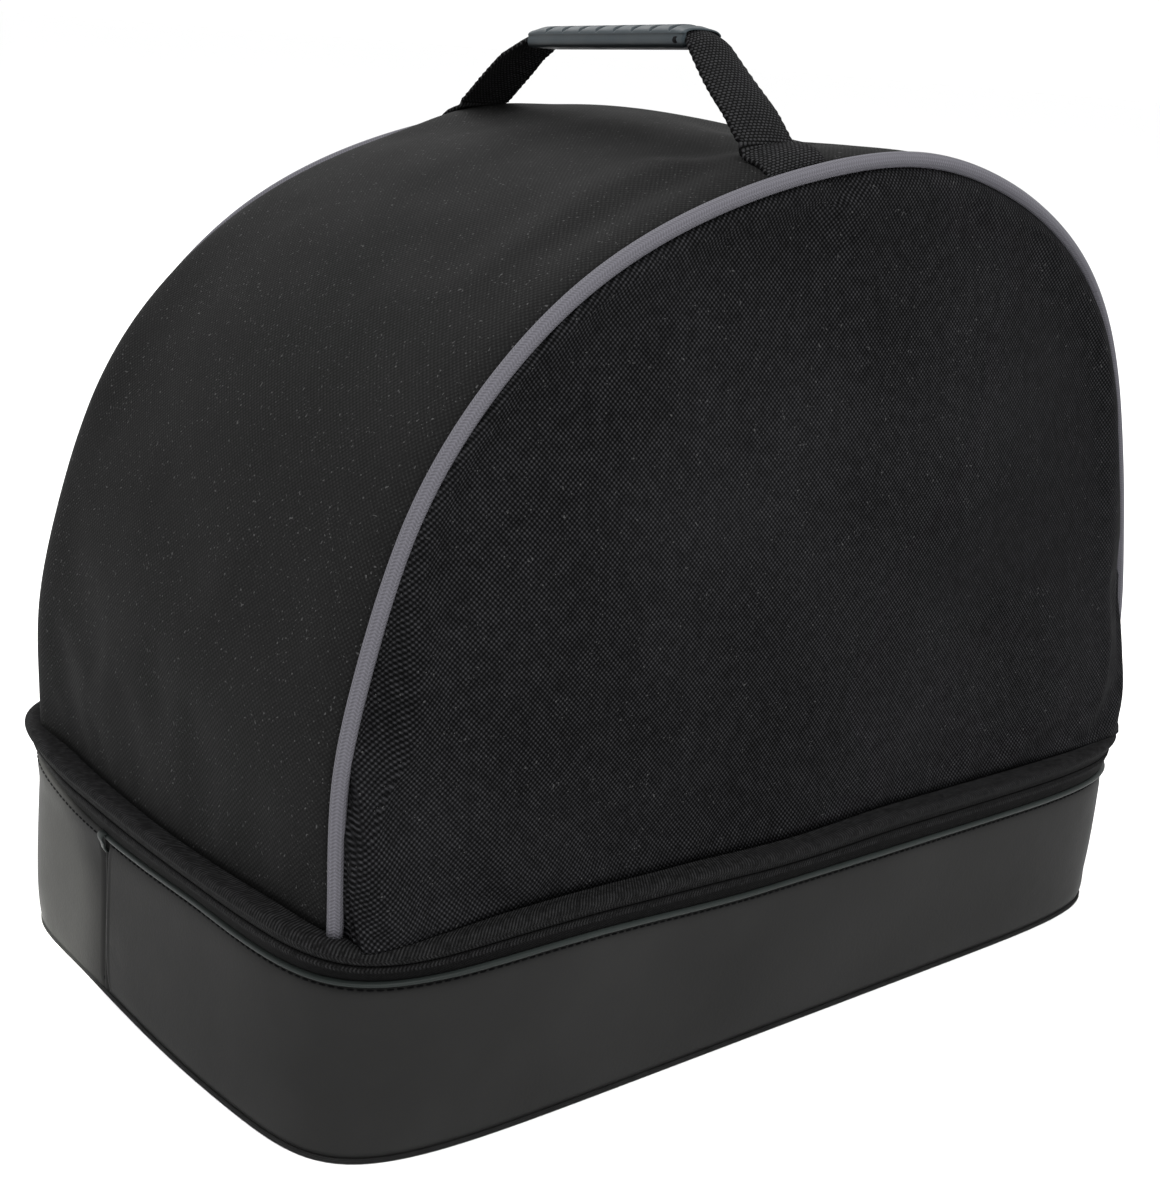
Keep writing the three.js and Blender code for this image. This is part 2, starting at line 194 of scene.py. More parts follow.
def slab(name, outer, inner, us, vs, ring=False):
    """A closed sheet between two grids of points, whose rows may close into a ring."""
    rows, cols = len(outer), len(outer[0])
    count = rows * cols
    points = [p for row in outer for p in row] + [p for row in inner for p in row]
    faces = grid_faces(rows, cols, 0, ring)
    faces += grid_faces(rows, cols, count, ring, flip=True)
    uvs = grid_uvs(us, vs, ring) + grid_uvs(us, vs, ring, flip=True)

    def edge(a, b, uv_a, uv_b):
        """A quad that closes the gap between the sheets from point a to point b."""
        faces.append((a, b, count + b, count + a))
        uvs.extend((u * MM, v * MM) for u, v in (uv_a, uv_b, uv_b, uv_a))

    last = cols - 1
    for i in range(rows if ring else rows - 1):
        n = (i + 1) % rows
        here = us[i]
        ahead = us[i + 1] if i + 1 < rows else us[i] + us[-1] - us[-2]
        edge(i * cols, n * cols, (here, vs[0]), (ahead, vs[0]))
        edge(n * cols + last, i * cols + last, (ahead, vs[-1]), (here, vs[-1]))
    if not ring:
        end = (rows - 1) * cols
        for j in range(last):
            edge(j + 1, j, (us[0], vs[j + 1]), (us[0], vs[j]))
            edge(end + j, end + j + 1, (us[-1], vs[j]), (us[-1], vs[j + 1]))
    return closed_mesh(name, points, faces, uvs)


def closed_mesh(name, points, faces, uvs=None):
    """A mesh without doubled points or faces without area, whose faces all look outward."""
    piece = new_mesh(name, points, faces, uvs)
    form = bmesh.new()
    form.from_mesh(piece.data)
    bmesh.ops.remove_doubles(form, verts=form.verts, dist=1e-6)
    bmesh.ops.dissolve_degenerate(form, edges=form.edges, dist=1e-6)
    bmesh.ops.recalc_face_normals(form, faces=form.faces)
    form.to_mesh(piece.data)
    form.free()
    return piece


def close_ends(faces, uvs, rows, cols, start=0):
    """Closes the first and the last row of a tube whose rows hold cols points."""
    for first in (start, start + (rows - 1) * cols):
        faces.append(tuple(first + k for k in range(cols)))
        uvs += [(0.0, 0.0)] * cols


def skin_of(piece):
    """A piece's surface, ready to be asked where a line meets it."""
    corners = [vertex.co / MM for vertex in piece.data.vertices]
    return BVHTree.FromPolygons(corners, [face.vertices for face in piece.data.polygons])


class Rods:
    """A mesh that gathers rods, each with an oval section in its frames' (out, side) planes."""

    def __init__(self):
        self.points, self.faces, self.uvs = [], [], []

    def add(self, centres, frames, sizes, sides=16, shape=1.0):
        """One rod along centres; sizes holds its half size outward and sideways at each of them."""
        start = len(self.points)
        lengths = [0.0]
        for i, (centre, (out, side), (half_out, half_side)) in enumerate(zip(centres, frames, sizes)):
            if i:
                lengths.append(lengths[-1] + (centre - centres[i - 1]).length)
            for k in range(sides):
                angle = TURN * k / sides
                c, s = math.cos(angle), math.sin(angle)
                x = math.copysign(abs(c) ** shape, c) * half_out
                y = math.copysign(abs(s) ** shape, s) * half_side
                self.points.append(centre + out * x + side * y)
        rows = len(centres)
        girth = math.pi * sum(max(sizes))
        self.faces += grid_faces(rows, sides, start, False, True)
        self.uvs += grid_uvs(lengths, [girth * k / sides for k in range(sides)], False, True)
        close_ends(self.faces, self.uvs, rows, sides, start)

    def make(self, name):
        return closed_mesh(name, self.points, self.faces, self.uvs)


def smooth_step(x):
    x = min(1.0, max(0.0, x))
    return x * x * (3 - 2 * x)


def bump_at(x, middle, half):
    """A smooth hump of height 1 round middle."""
    t = abs(x - middle) / half
    return 0.0 if t >= 1 else 0.5 + 0.5 * math.cos(math.pi * t)


def curve_between(p0, p1, p2, p3, t):
    """A smooth curve from p1 to p2, at share t of the way."""
    return 0.5 * (2 * p1 + (p2 - p0) * t + (2 * p0 - 5 * p1 + 4 * p2 - p3) * t ** 2
                  + (3 * p1 - p0 - 3 * p2 + p3) * t ** 3)


def wave_noise(seed, count, longest, shortest):
    """A gentle uneven field over a plane, from sines with chosen wavelengths in millimetres."""
    draw = random.Random(seed)
    waves = []
    for _ in range(count):
        length = longest * (shortest / longest) ** draw.random()
        angle = draw.random() * TURN
        waves.append((math.cos(angle) * TURN / length, math.sin(angle) * TURN / length, draw.random() * TURN,
                      (length / longest) ** 0.8))
    total = sum(w[3] for w in waves)
    return lambda x, y: sum(a * math.sin(kx * x + ky * y + ph) for kx, ky, ph, a in waves) / total


# The outline of the base, and lines that follow it

def outline_reach(angle, half_x, half_y, squareness):
    x = abs(math.cos(angle)) / half_x
    y = abs(math.sin(angle)) / half_y
    return (x ** squareness + y ** squareness) ** (-1 / squareness)


def outline_point(angle, out_side, out_front, z, squareness=SQUARENESS):
    reach = outline_reach(angle, HALF_WIDTH + out_side, HALF_DEPTH + out_front, squareness)
    return Vector((reach * math.cos(angle), reach * math.sin(angle), z))


def outline_angles(count, start=0.0, end=TURN, closed=True):
    """Directions that are evenly spaced along the outline, with their distances from the start."""
    fine = 4000
    angles = [start + (end - start) * k / fine for k in range(fine + 1)]
    travelled = [0.0]
    before = outline_point(angles[0], 0, 0, 0)
    for angle in angles[1:]:
        here = outline_point(angle, 0, 0, 0)
        travelled.append(travelled[-1] + (here - before).length)
        before = here
    spans = count if closed else count - 1
    wanted = [travelled[-1] * i / spans for i in range(count)]
    found = np.interp(wanted, travelled, angles)
    return [float(a) for a in found], wanted


def outline_depth(x, half_x, half_y):
    return half_y * (1 - (abs(x) / half_x) ** SQUARENESS) ** (1 / SQUARENESS)


def direction_at_depth(y, side):
    return math.atan2(y, side * outline_depth(y, HALF_DEPTH, HALF_WIDTH))


def direction_at_width(x):
    return math.atan2(outline_depth(x, HALF_WIDTH, HALF_DEPTH), x)


# The arch of the dome

def spline_arch(count):
    """Points of the arch from left to right: (x, height, outward x, outward z, distance)."""
    corners = [(-o, u) for o, u in ARCH] + [(o, u) for o, u in reversed(ARCH[:-1])]
    pts = np.array([(x * DOME_HALF, u * DOME_RISE) for x, u in corners])
    chord = np.concatenate([[0], np.cumsum(np.sqrt(((pts[1:] - pts[:-1]) ** 2).sum(1)))])
    n = len(pts)
    system = np.zeros((n, n))
    right = np.zeros((n, 2))
    steps = np.diff(chord)
    ends = {0: np.array([0.0, 1.0]), n - 1: np.array([0.0, -1.0])}
    for i in range(n):
        if i in ends:
            system[i, i] = 1
            right[i] = ends[i]
            continue
        system[i, i - 1] = steps[i]
        system[i, i] = 2 * (steps[i - 1] + steps[i])
        system[i, i + 1] = steps[i - 1]
        slopes = (pts[i] - pts[i - 1]) / steps[i - 1], (pts[i + 1] - pts[i]) / steps[i]
        right[i] = 3 * (steps[i] * slopes[0] + steps[i - 1] * slopes[1])
    tangents = np.linalg.solve(system, right)
    fine = []
    for i in range(n - 1):
        for t in np.linspace(0, 1, 60, endpoint=i == n - 2):
            h = steps[i]
            a = 2 * t ** 3 - 3 * t ** 2 + 1
            b = t ** 3 - 2 * t ** 2 + t
            c = -2 * t ** 3 + 3 * t ** 2
            d = t ** 3 - t ** 2
            fine.append(a * pts[i] + b * h * tangents[i] + c * pts[i + 1] + d * h * tangents[i + 1])
    fine = np.array(fine)
    travelled = np.concatenate([[0], np.cumsum(np.sqrt(((fine[1:] - fine[:-1]) ** 2).sum(1)))])
    wanted = np.linspace(0, travelled[-1], count)
    xs = np.interp(wanted, travelled, fine[:, 0])
    zs = np.interp(wanted, travelled, fine[:, 1])
    dx, dz = np.gradient(xs), np.gradient(zs)
    length = np.sqrt(dx ** 2 + dz ** 2)
    out_x, out_z = -dz / length, dx / length
    out_x[0], out_z[0], out_x[-1], out_z[-1] = -1, 0, 1, 0
    return [tuple(float(c) for c in row) for row in zip(xs, zs, out_x, out_z, wanted)]


def arch_place(row, out, y):
    x, up, out_x, out_z, _ = row
    share = up / DOME_RISE
    lean = DOME_SHIFT + DOME_LEAN * share ** TOP_ONSET + SHOULDER_SHIFT * bump_at(share, 0.78, 0.27)
    if x > 0:
        lean -= RIGHT_SIDE_INSET * bump_at(share, 0.35, 0.3)
    return Vector((lean + x + out_x * out, y, DOME_FOOT + up + out_z * out))


ARCH_LINE = spline_arch(241)


def arch_row(share):
    """The arch's row at a share of the way round it."""
    return ARCH_LINE[round(share * (len(ARCH_LINE) - 1))]


# Materials

class Finish:
    """A material whose nodes are made by short calls."""

    def __init__(self, name):
        self.material = bpy.data.materials.new(name)
        self.material.use_nodes = True
        self.tree = self.material.node_tree
        self.shader = self.tree.nodes["Principled BSDF"]

    def node(self, kind, inputs=None, **settings):
        made = self.tree.nodes.new(kind)
        for key, value in settings.items():
            setattr(made, key, value)
        for key, value in (inputs or {}).items():
            self.give(made.inputs[key], value)
        return made

    def give(self, socket, value):
        if isinstance(value, bpy.types.NodeSocket):
            self.tree.links.new(value, socket)
        else:
            socket.default_value = value

    def math(self, operation, a, b=0.0, c=0.0):
        return self.node("ShaderNodeMath", {0: a, 1: b, 2: c}, operation=operation).outputs[0]

    def times(self, a, b):
        return self.math("MULTIPLY", a, b)

    def noise(self, scale, detail=3.0, roughness=0.55, at=None):
        made = self.node("ShaderNodeTexNoise", {"Scale": scale, "Detail": detail, "Roughness": roughness})
        self.tree.links.new(at or self.place(), made.inputs["Vector"])
        return made.outputs["Fac"]

    def place(self):
        return self.node("ShaderNodeTexCoord").outputs["Object"]

    def cloth(self):
        """The cloth's own coordinates in metres, as two sockets."""
        uv = self.node("ShaderNodeTexCoord").outputs["UV"]
        apart = self.node("ShaderNodeSeparateXYZ", {0: uv})
        return apart.outputs[0], apart.outputs[1]

    def grey(self, value, low, high, at_low=0.0, at_high=1.0):
        return self.node("ShaderNodeMapRange", {0: value, 1: at_low, 2: at_high, 3: low, 4: high}).outputs[0]

    def mix(self, share, a, b):
        made = self.node("ShaderNodeMix", data_type="RGBA")
        self.give(made.inputs[0], share)
        self.give(made.inputs[6], a if not isinstance(a, tuple) else (*a, 1))
        self.give(made.inputs[7], b if not isinstance(b, tuple) else (*b, 1))
        return made.outputs[2]

    def bump(self, height, distance, strength=1.0, under=None):
        made = self.node("ShaderNodeBump", {"Strength": strength, "Distance": distance, "Height": height})
        if under is not None:
            self.tree.links.new(under, made.inputs["Normal"])
        return made.outputs[0]

    def finish(self, **values):
        for name, value in values.items():
            socket = self.shader.inputs[name.replace("_", " ")]
            self.give(socket, (*value, 1) if isinstance(value, tuple) else value)
        return self.material


def shaded(colour, factor):
    return tuple(c * factor for c in colour)


def plain_weave(f, u, v, pitch):
    """Height of a plain weave whose threads cross at the given pitch, from 0 to 1."""
    a = f.math("SINE", f.times(u, math.pi / pitch))
    b = f.math("SINE", f.times(v, math.pi / pitch))
    over = f.times(a, b)
    return f.math("MULTIPLY_ADD", over, 0.5, 0.5)


def twill(f, u, v, pitch, slant=1.0):
    """Height of a twill: slanting ribs cut by the threads that cross them."""
    turned = f.math("MULTIPLY_ADD", v, slant, u)
    rib = f.math("SINE", f.times(turned, TURN / pitch))
    thread = f.math("SINE", f.times(v, TURN / pitch))
    return f.math("MULTIPLY_ADD", f.math("MULTIPLY_ADD", thread, 0.35, rib), 0.37, 0.5)


LINT_COLOUR = (0.06, 0.06, 0.06)
# Near-black colour of the painted shade between the zip's teeth.
PAINTED_GAP_SHADE = (0.0004, 0.0004, 0.0004)
PAINTED_UNDERSIDE_SHADE = (0.0, 0.0, 0.0)


def cloth_finish(name, colour, pitch, weave, depth, lint, contrast=1.0, shine=0.1, grain=0.4):
    """Woven polyester: threads whose crests are painted bright as a highlight with painted shade between
    them, slow shade changes, fine grain and a few specks of lint.
    """
    f = Finish(name)
    u, v = f.cloth()
    thread = weave(f, u, v, pitch)
    patchy = f.grey(f.noise(240.0, 2.0), 0.7, 1.3, 0.3, 0.7)
    # Painted highlight on the thread crests and painted shade between the threads, in place of the weave's
    # sheen.
    lit = f.times(f.math("POWER", thread, 2.5), patchy)
    shade = f.math("MULTIPLY_ADD", f.math("SUBTRACT", f.noise(9.0, 2.0), 0.5), 0.4, lit)
    shade = f.math("MULTIPLY_ADD", f.math("SUBTRACT", f.noise(1700.0, 1.0), 0.5), grain, shade)
    # Dark and bright copies of the colour for that painted shade and painted highlight.
    low = shaded(colour, 1 - 0.9 * contrast)
    high = shaded(colour, 1 + 6.0 * contrast)
    base = f.mix(f.grey(shade, 0, 1, 0.0, 1.1), low, high)
    is_speck = f.grey(f.noise(1000.0, 0.0), 0, 1, lint, lint + 0.03)
    base = f.mix(f.times(is_speck, 0.7), base, LINT_COLOUR)
    height = f.math("MULTIPLY_ADD", f.noise(900.0, 2.0), 0.3, thread)
    rough = f.grey(f.noise(30.0), 0.72, 0.9)
    f.finish(Base_Color=base, Roughness=rough, Normal=f.bump(height, depth), Specular_IOR_Level=shine)
    return f.material


def tape_finish(name, colour):
    """Zip tape: a slanting weave and ribbed threads beside the teeth and at the crease, whose crests are
    painted lighter as a highlight and whose hollows are painted darker as shade, with a black line of
    painted shade between the teeth.
    """
    f = Finish(name)
    u, v = f.cloth()
    weave = twill(f, u, v, 1.0 * MM)
    bend = f.math("SINE", f.times(v, TURN / (6.0 * MM)))
    wobble = f.times(bend, 0.35 * MM)
    rib = f.math("SINE", f.times(f.math("ADD", u, wobble), TURN / (RIB_PITCH * MM)))
    rib = f.math("MULTIPLY_ADD", rib, 0.5, 0.5)
    bands = None
    for middle, half in ((ZIP_LINE - 2.4, 1.9), (ZIP_LINE + 2.6, 2.1), (CREASE - 0.6, 2.2)):
        away = f.math("ABSOLUTE", f.math("SUBTRACT", v, middle * MM))
        band = f.grey(away, 1.0, 0.0, half * 0.6 * MM, half * MM)
        bands = band if bands is None else f.math("MAXIMUM", bands, band)
    uneven = f.grey(f.noise(420.0, 2.0), 0.15, 1.3, 0.3, 0.7)
    # Painted highlight: the rib crests beside the teeth and at the crease are lighter.
    stroke = f.times(f.times(f.math("POWER", rib, 1.5), bands), uneven)
    # The weave's crests painted lighter and its hollows darker: painted highlight and shade.
    patchy = f.times(weave, f.grey(f.noise(600.0), 0.2, 1.0, 0.3, 0.7))
    ground = f.mix(patchy, shaded(colour, 0.3), shaded(colour, 1.7))
    base = f.mix(stroke, ground, shaded(colour, 6.0))
    # Painted shade: a near-black line between the teeth along the meeting line, broken by the ribs.
    from_meeting = f.math("ABSOLUTE", f.math("SUBTRACT", v, ZIP_LINE * MM))
    gap = f.grey(from_meeting, 1.0, 0.0, 0.15 * MM, 0.35 * MM)
    base = f.mix(f.times(gap, f.math("SUBTRACT", 1.1, rib)), base, PAINTED_GAP_SHADE)
    height = f.math("MULTIPLY_ADD", stroke, 0.6, f.times(weave, 0.4))
    f.finish(Base_Color=base, Roughness=0.85, Normal=f.bump(height, 0.0003), Specular_IOR_Level=0.06)
    return f.material


def leather_finish(name, colour, worn, shine):
    """Leathercloth: a fine pebbled grain, slow shade changes and dull patches."""
    f = Finish(name)
    cells = f.node("ShaderNodeTexVoronoi", {"Vector": f.place(), "Scale": 900.0}, feature="SMOOTH_F1")
    fine = f.times(f.noise(2400.0, 2.0), 0.3)
    grain = f.math("MULTIPLY_ADD", cells.outputs["Distance"], 0.7, fine)
    broad = f.noise(14.0, 3.0)
    patches = f.noise(55.0, 4.0)
    base = f.mix(f.grey(broad, 0, 1, 0.3, 0.7), shaded(colour, 0.86), shaded(colour, 1.12))
    base = f.mix(f.times(f.grey(patches, 0, 1, 0.62, 0.8), 0.2), base, worn)
    rough = f.math("MULTIPLY_ADD", f.grey(patches, 0, 1, 0.3, 0.7), 0.08, 0.42)
    ripple = f.noise(38.0, 2.0)
    soft = f.bump(ripple, 0.0006, 0.5)
    f.finish(Base_Color=base, Roughness=rough, Normal=f.bump(grain, 0.00012, 0.6, soft),
             Specular_IOR_Level=shine)
    return f.material


def braid_finish(name, colour):
    """A knitted cord: small chevrons in rows along it, their raised stitches painted lighter as a highlight
    and their hollows painted darker as shade.
    """
    f = Finish(name)
    u, v = f.cloth()
    pitch = 1.15 * MM
    fold = f.math("PINGPONG", v, 1.35 * MM)
    slanted = f.math("MULTIPLY_ADD", fold, 0.8, u)
    stitch = f.math("SINE", f.times(slanted, TURN / pitch))
    wale = f.math("COSINE", f.times(v, TURN / (1.35 * MM)))
    height = f.math("MULTIPLY_ADD", stitch, 0.33, f.math("MULTIPLY_ADD", wale, 0.17, 0.5))
    low = shaded(colour, 0.62)
    high = shaded(colour, 1.2)
    # Painted highlight and shade: the tint follows the knit's height, lighter on raised stitches and darker
    # in the hollows.
    tint = f.mix(f.grey(height, 0, 1, 0.05, 0.95), low, high)
    tint = f.mix(f.times(f.noise(60.0), 0.25), tint, shaded(colour, 0.8))
    f.finish(Base_Color=tint, Roughness=0.82, Normal=f.bump(height, 0.00025, 0.8))
    return f.material


def webbing_finish(name, colour):
    """Coarse webbing: fat threads over and under each other, with painted highlights on their crests and
    painted shade in the hollows between them.
    """
    f = Finish(name)
    u, v = f.cloth()
    across = 1.9 * MM
    along = 1.15 * MM
    row = f.math("FLOOR", f.math("DIVIDE", u, along))
    odd = f.times(f.math("MODULO", row, 2.0), across / 2)
    shifted = f.math("ADD", v, odd)
    a = f.math("ABSOLUTE", f.math("SINE", f.times(shifted, math.pi / across)))
    b = f.math("ABSOLUTE", f.math("SINE", f.times(u, math.pi / along)))
    height = f.times(f.math("POWER", a, 0.6), f.math("POWER", b, 0.6))
    worn = f.grey(f.noise(700.0, 2.0), 0.5, 1.3, 0.3, 0.7)
    # Painted shade in the hollows between threads and painted highlight on their crests, from the weave's
    # height, varied at random.
    share = f.times(f.grey(height, 0, 1, 0.35, 1.0), worn)
    tint = f.mix(share, shaded(colour, 0.15), shaded(colour, 2.8))
    fuzzy = f.math("MULTIPLY_ADD", f.noise(1500.0, 2.0), 0.2, height)
    f.finish(Base_Color=tint, Roughness=0.9, Normal=f.bump(fuzzy, 0.0006, 0.9), Specular_IOR_Level=0.06)
    return f.material


def plastic_finish(name, colour, rough, shine=0.5):
    """Moulded plastic: a fine spark-eroded grain, slightly worn shine, and painted shade that darkens its
    downward-facing sides toward black.
    """
    f = Finish(name)
    grain = f.noise(1800.0, 2.0)
    wear = f.noise(70.0, 4.0)
    base = f.mix(f.grey(wear, 0, 1, 0.3, 0.8), shaded(colour, 0.9), shaded(colour, 1.15))
    # Painted shade: faces that look downward are darkened toward black.
    normal = f.node("ShaderNodeNewGeometry").outputs["Normal"]
    facing = f.node("ShaderNodeSeparateXYZ", {0: normal}).outputs[2]
    base = f.mix(f.grey(facing, 0.25, 1.0, -0.5, -0.1), PAINTED_UNDERSIDE_SHADE, base)
    f.finish(Base_Color=base, Roughness=f.grey(wear, rough - 0.06, rough + 0.1, 0.3, 0.7),
             Normal=f.bump(grain, 0.00006, 0.5), Specular_IOR_Level=shine)
    return f.material


def thread_finish(name, colour):
    f = Finish(name)
    u, v = f.cloth()
    slanted = f.math("ADD", u, f.times(v, 2.0))
    twist = f.math("SINE", f.times(slanted, TURN / (0.6 * MM)))
    base = f.mix(f.grey(twist, 0, 1, -1, 1), shaded(colour, 0.7), shaded(colour, 1.2))
    f.finish(Base_Color=base, Roughness=0.8, Normal=f.bump(twist, 0.0001, 0.5), Specular_IOR_Level=0.05)
    return f.material


PANEL_CLOTH = cloth_finish("panel_cloth", (0.0052, 0.0052, 0.0056), 0.92 * MM, plain_weave, 0.0003, 0.81,
                           0.8, 0.02)
GUSSET_CLOTH = cloth_finish("gusset_cloth", (0.0052, 0.0052, 0.0052), 0.92 * MM, plain_weave, 0.00012, 0.77,
                            0.25, 0.07, 1.2)
LEATHERCLOTH = leather_finish("leathercloth", (0.0195, 0.0195, 0.0192), (0.0225, 0.0225, 0.0218), 0.015)
WELT_LEATHER = leather_finish("welt_leathercloth", (0.0155, 0.0190, 0.0180), (0.022, 0.025, 0.024), 0.12)
BRAID = braid_finish("braid", (0.0775, 0.0750, 0.0885))
WEBBING_CLOTH = webbing_finish("webbing", (0.0105, 0.0105, 0.011))
GRIP_PLASTIC = plastic_finish("grip_plastic", (0.0205, 0.028, 0.0325), 0.48, 0.17)
COIL_PLASTIC = plastic_finish("coil_plastic", (0.006, 0.006, 0.0065), 0.35)
SLIDER_METAL = plastic_finish("slider_metal", (0.012, 0.012, 0.013), 0.3)
# Black thread for the stitches, also used as the painted shade inside the grip's holes.
BLACK_THREAD_AND_HOLE_SHADE = thread_finish("black_thread_and_hole_shade", (0.004, 0.004, 0.0045))
DARK_BINDING = cloth_finish("dark_binding", (0.005, 0.005, 0.005), 0.6 * MM, twill, 0.0002, 0.9)


PIECES = []


def dress(piece, material, replaced=()):
    """Gives a piece its material and slot, hides the parts it replaces, and ties it to the bag."""
    piece.data.materials.clear()
    piece.data.materials.append(material)
    if replaced:
        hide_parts(*replaced)
    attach(piece, BODY)
    PIECES.append(piece)
    return piece


# Cloth: a sheet held at its edges and blown up a little

CLOTH_FRAMES = 20


def settled(name, sheet, pressure, slack, cap):
    """How far each point of a grid moves, in millimetres, when cloth pinned at its border is puffed up."""
    rows, cols = len(sheet), len(sheet[0])
    flat = [p for line in sheet for p in line]
    piece = new_mesh(name, flat, grid_faces(rows, cols))
    held = piece.vertex_groups.new(name="held")
    places = [(i, j) for i in range(rows) for j in range(cols)]
    border = [i * cols + j for i, j in places if i in (0, rows - 1) or j in (0, cols - 1)]
    held.add(border, 1.0, "REPLACE")
    cloth = piece.modifiers.new("cloth", "CLOTH")
    cloth.settings.quality = 6
    cloth.settings.mass = 0.25
    cloth.settings.tension_stiffness = 25
    cloth.settings.compression_stiffness = 25
    cloth.settings.shear_stiffness = 12
    cloth.settings.bending_stiffness = 1.5
    cloth.settings.vertex_group_mass = "held"
    cloth.settings.shrink_min = -slack
    cloth.settings.use_pressure = True
    cloth.settings.uniform_pressure_force = pressure
    cloth.settings.effector_weights.gravity = 0
    cloth.collision_settings.use_collision = False
    for step in range(1, CLOTH_FRAMES + 1):
        bpy.context.scene.frame_set(step)
    bpy.context.view_layer.update()
    shaped = piece.evaluated_get(bpy.context.evaluated_depsgraph_get())
    after = np.empty(rows * cols * 3)
    shaped.data.vertices.foreach_get("co", after)
    before = np.array([tuple(p) for p in flat])
    moved = after.reshape(rows, cols, 3) / MM - before.reshape(rows, cols, 3)
    bpy.data.objects.remove(piece)
    bpy.context.scene.frame_set(1)
    length = np.linalg.norm(moved, axis=2, keepdims=True)
    return moved * (cap * np.tanh(length / cap) / np.maximum(length, 1e-9))


def finer(field, rows, cols):
    """A grid of vectors read off at more rows and columns, smoothly."""

    def along(values, count):
        old = np.linspace(0, 1, values.shape[0])
        new = np.linspace(0, 1, count)
        at = np.clip(np.searchsorted(old, new, "right") - 1, 0, len(old) - 2)
        t = ((new - old[at]) / (old[1] - old[0]))[:, None, None]
        p0, p1 = values[np.maximum(at - 1, 0)], values[at]
        p2, p3 = values[at + 1], values[np.minimum(at + 2, len(old) - 1)]
        return curve_between(p0, p1, p2, p3, t)

    return along(along(field, rows).transpose(1, 0, 2), cols).transpose(1, 0, 2)


# Dome: padded panels, gusset and piping

PANEL_PRESSURE = 1.2
GUSSET_PRESSURE = 0.35
PANEL_SLACK = 0.012
GUSSET_SLACK = 0.003
CLOTH_CAP = 5.0
PANEL_EDGE = PIPING + GAP
PANEL_RIM = PIPING_PLANE - PIPING / 2 + PADDING
PANEL_FOOT = HALF_DEPTH - CREASE_SETBACK_FRONT - 1.0
FOOT_BUNCHING = 0.25
PANEL_PILLOW = 1.4
PANEL_DENTS = 1.1
EDGE_TUCK = 2.0


def panel_point(row, v, side, uneven):
    """One place of a D-shaped padded panel: v runs from its foot to its top edge under the piping."""
    x, up, _, _, _ = row
    top = arch_place(row, -PANEL_EDGE + 1.0, 0)
    share = min(1.0, abs(x) / DOME_HALF) ** (1 + FOOT_BUNCHING)
    foot_x = DOME_SHIFT + math.copysign(share * (DOME_HALF - PANEL_EDGE), x)
    bow = (1 - share ** SQUARENESS) ** (1 / SQUARENESS)
    foot_y = PANEL_RIM + (PANEL_FOOT - PANEL_RIM) * bow
    px = foot_x + (top.x - foot_x) * v
    pz = DOME_FOOT + (top.z - DOME_FOOT) * v
    belly = PANEL_BELLY * math.sin(math.pi * v) * up / DOME_RISE
    from_top = (1 - v) * max(up, 1.0)
    from_foot = v * up
    pillow = PANEL_PILLOW * (1 - math.exp(-from_top / 7.0)) * smooth_step(from_foot / 30)
    dents = PANEL_DENTS * uneven(px, pz) * min(1.0, from_top / 40) * min(1.0, from_foot / 25)
    y = foot_y + (PANEL_RIM - EDGE_TUCK - foot_y) * v + belly + pillow + dents
    return Vector((px, side * y, pz))


def puffed(name, place, rows, cols, outward, coarse_rows, coarse_cols, pressure, slack, cap):
    """Outer and inner grids of a padded sheet, blown up by a cloth simulation of fewer points."""

    def sampled(count, across):
        return [[place(i / (count - 1), j / (across - 1)) for j in range(across)] for i in range(count)]

    coarse = sampled(coarse_rows, coarse_cols)
    moves = finer(settled(name, coarse, pressure, slack, cap), rows, cols)
    outer = [[p + Vector(moves[i, j]) for j, p in enumerate(line)]
             for i, line in enumerate(sampled(rows, cols))]
    inner = [[p - outward(i / (rows - 1)) * PADDING for p in line] for i, line in enumerate(outer)]
    return outer, inner


def make_panel(name, side, seed):
    """A padded panel: bellied out, tucked in at its piping and at the crease."""
    uneven = wave_noise(seed, 14, 240, 55)
    rows, cols = 121, 65

    def place(s, v):
        return panel_point(arch_row(s), v, side, uneven)

    def outward(_):
        return Vector((0, side, 0))

    outer, inner = puffed(name + "_cloth", place, rows, cols, outward, 61, 41,
                          PANEL_PRESSURE * -side, PANEL_SLACK, CLOTH_CAP)
    us = [arch_row(i / (rows - 1))[0] for i in range(rows)]
    vs = [DOME_RISE * j / (cols - 1) for j in range(cols)]
    piece = slab(name, outer, inner, us, vs)
    front_uvs(piece)
    return piece


def front_uvs(piece):
    """Lays the weave straight across and up the panel."""
    mesh = piece.data
    layer = mesh.uv_layers.active.data
    for loop in mesh.loops:
        place = mesh.vertices[loop.vertex_index].co
        layer[loop.index].uv = (place.x, place.z)


front = make_panel("panel_front", -1, 3)
dress(front, PANEL_CLOTH, ["front_panel"])
back = make_panel("panel_back", 1, 4)
dress(back, PANEL_CLOTH, ["back_panel"])


GUSSET_PILLOW = 2.0
GUSSET_TUCK = 1.6
GUSSET_DENTS = 0.6
FOOT_PEAK = GUSSET_HALF - 15.0
FOOT_LIFT = 3.2
FOLD_RISE = 1.5
FOLD_DEPTH = 1.3
FOLD_SLANT = 0.10
GUSSET_UNEVEN = wave_noise(11, 16, 200, 50)


def below_top(share):
    """1 along the dome's sides, falling to 0 where its top begins."""
    return 1 - smooth_step((share - 0.6) / 0.35)


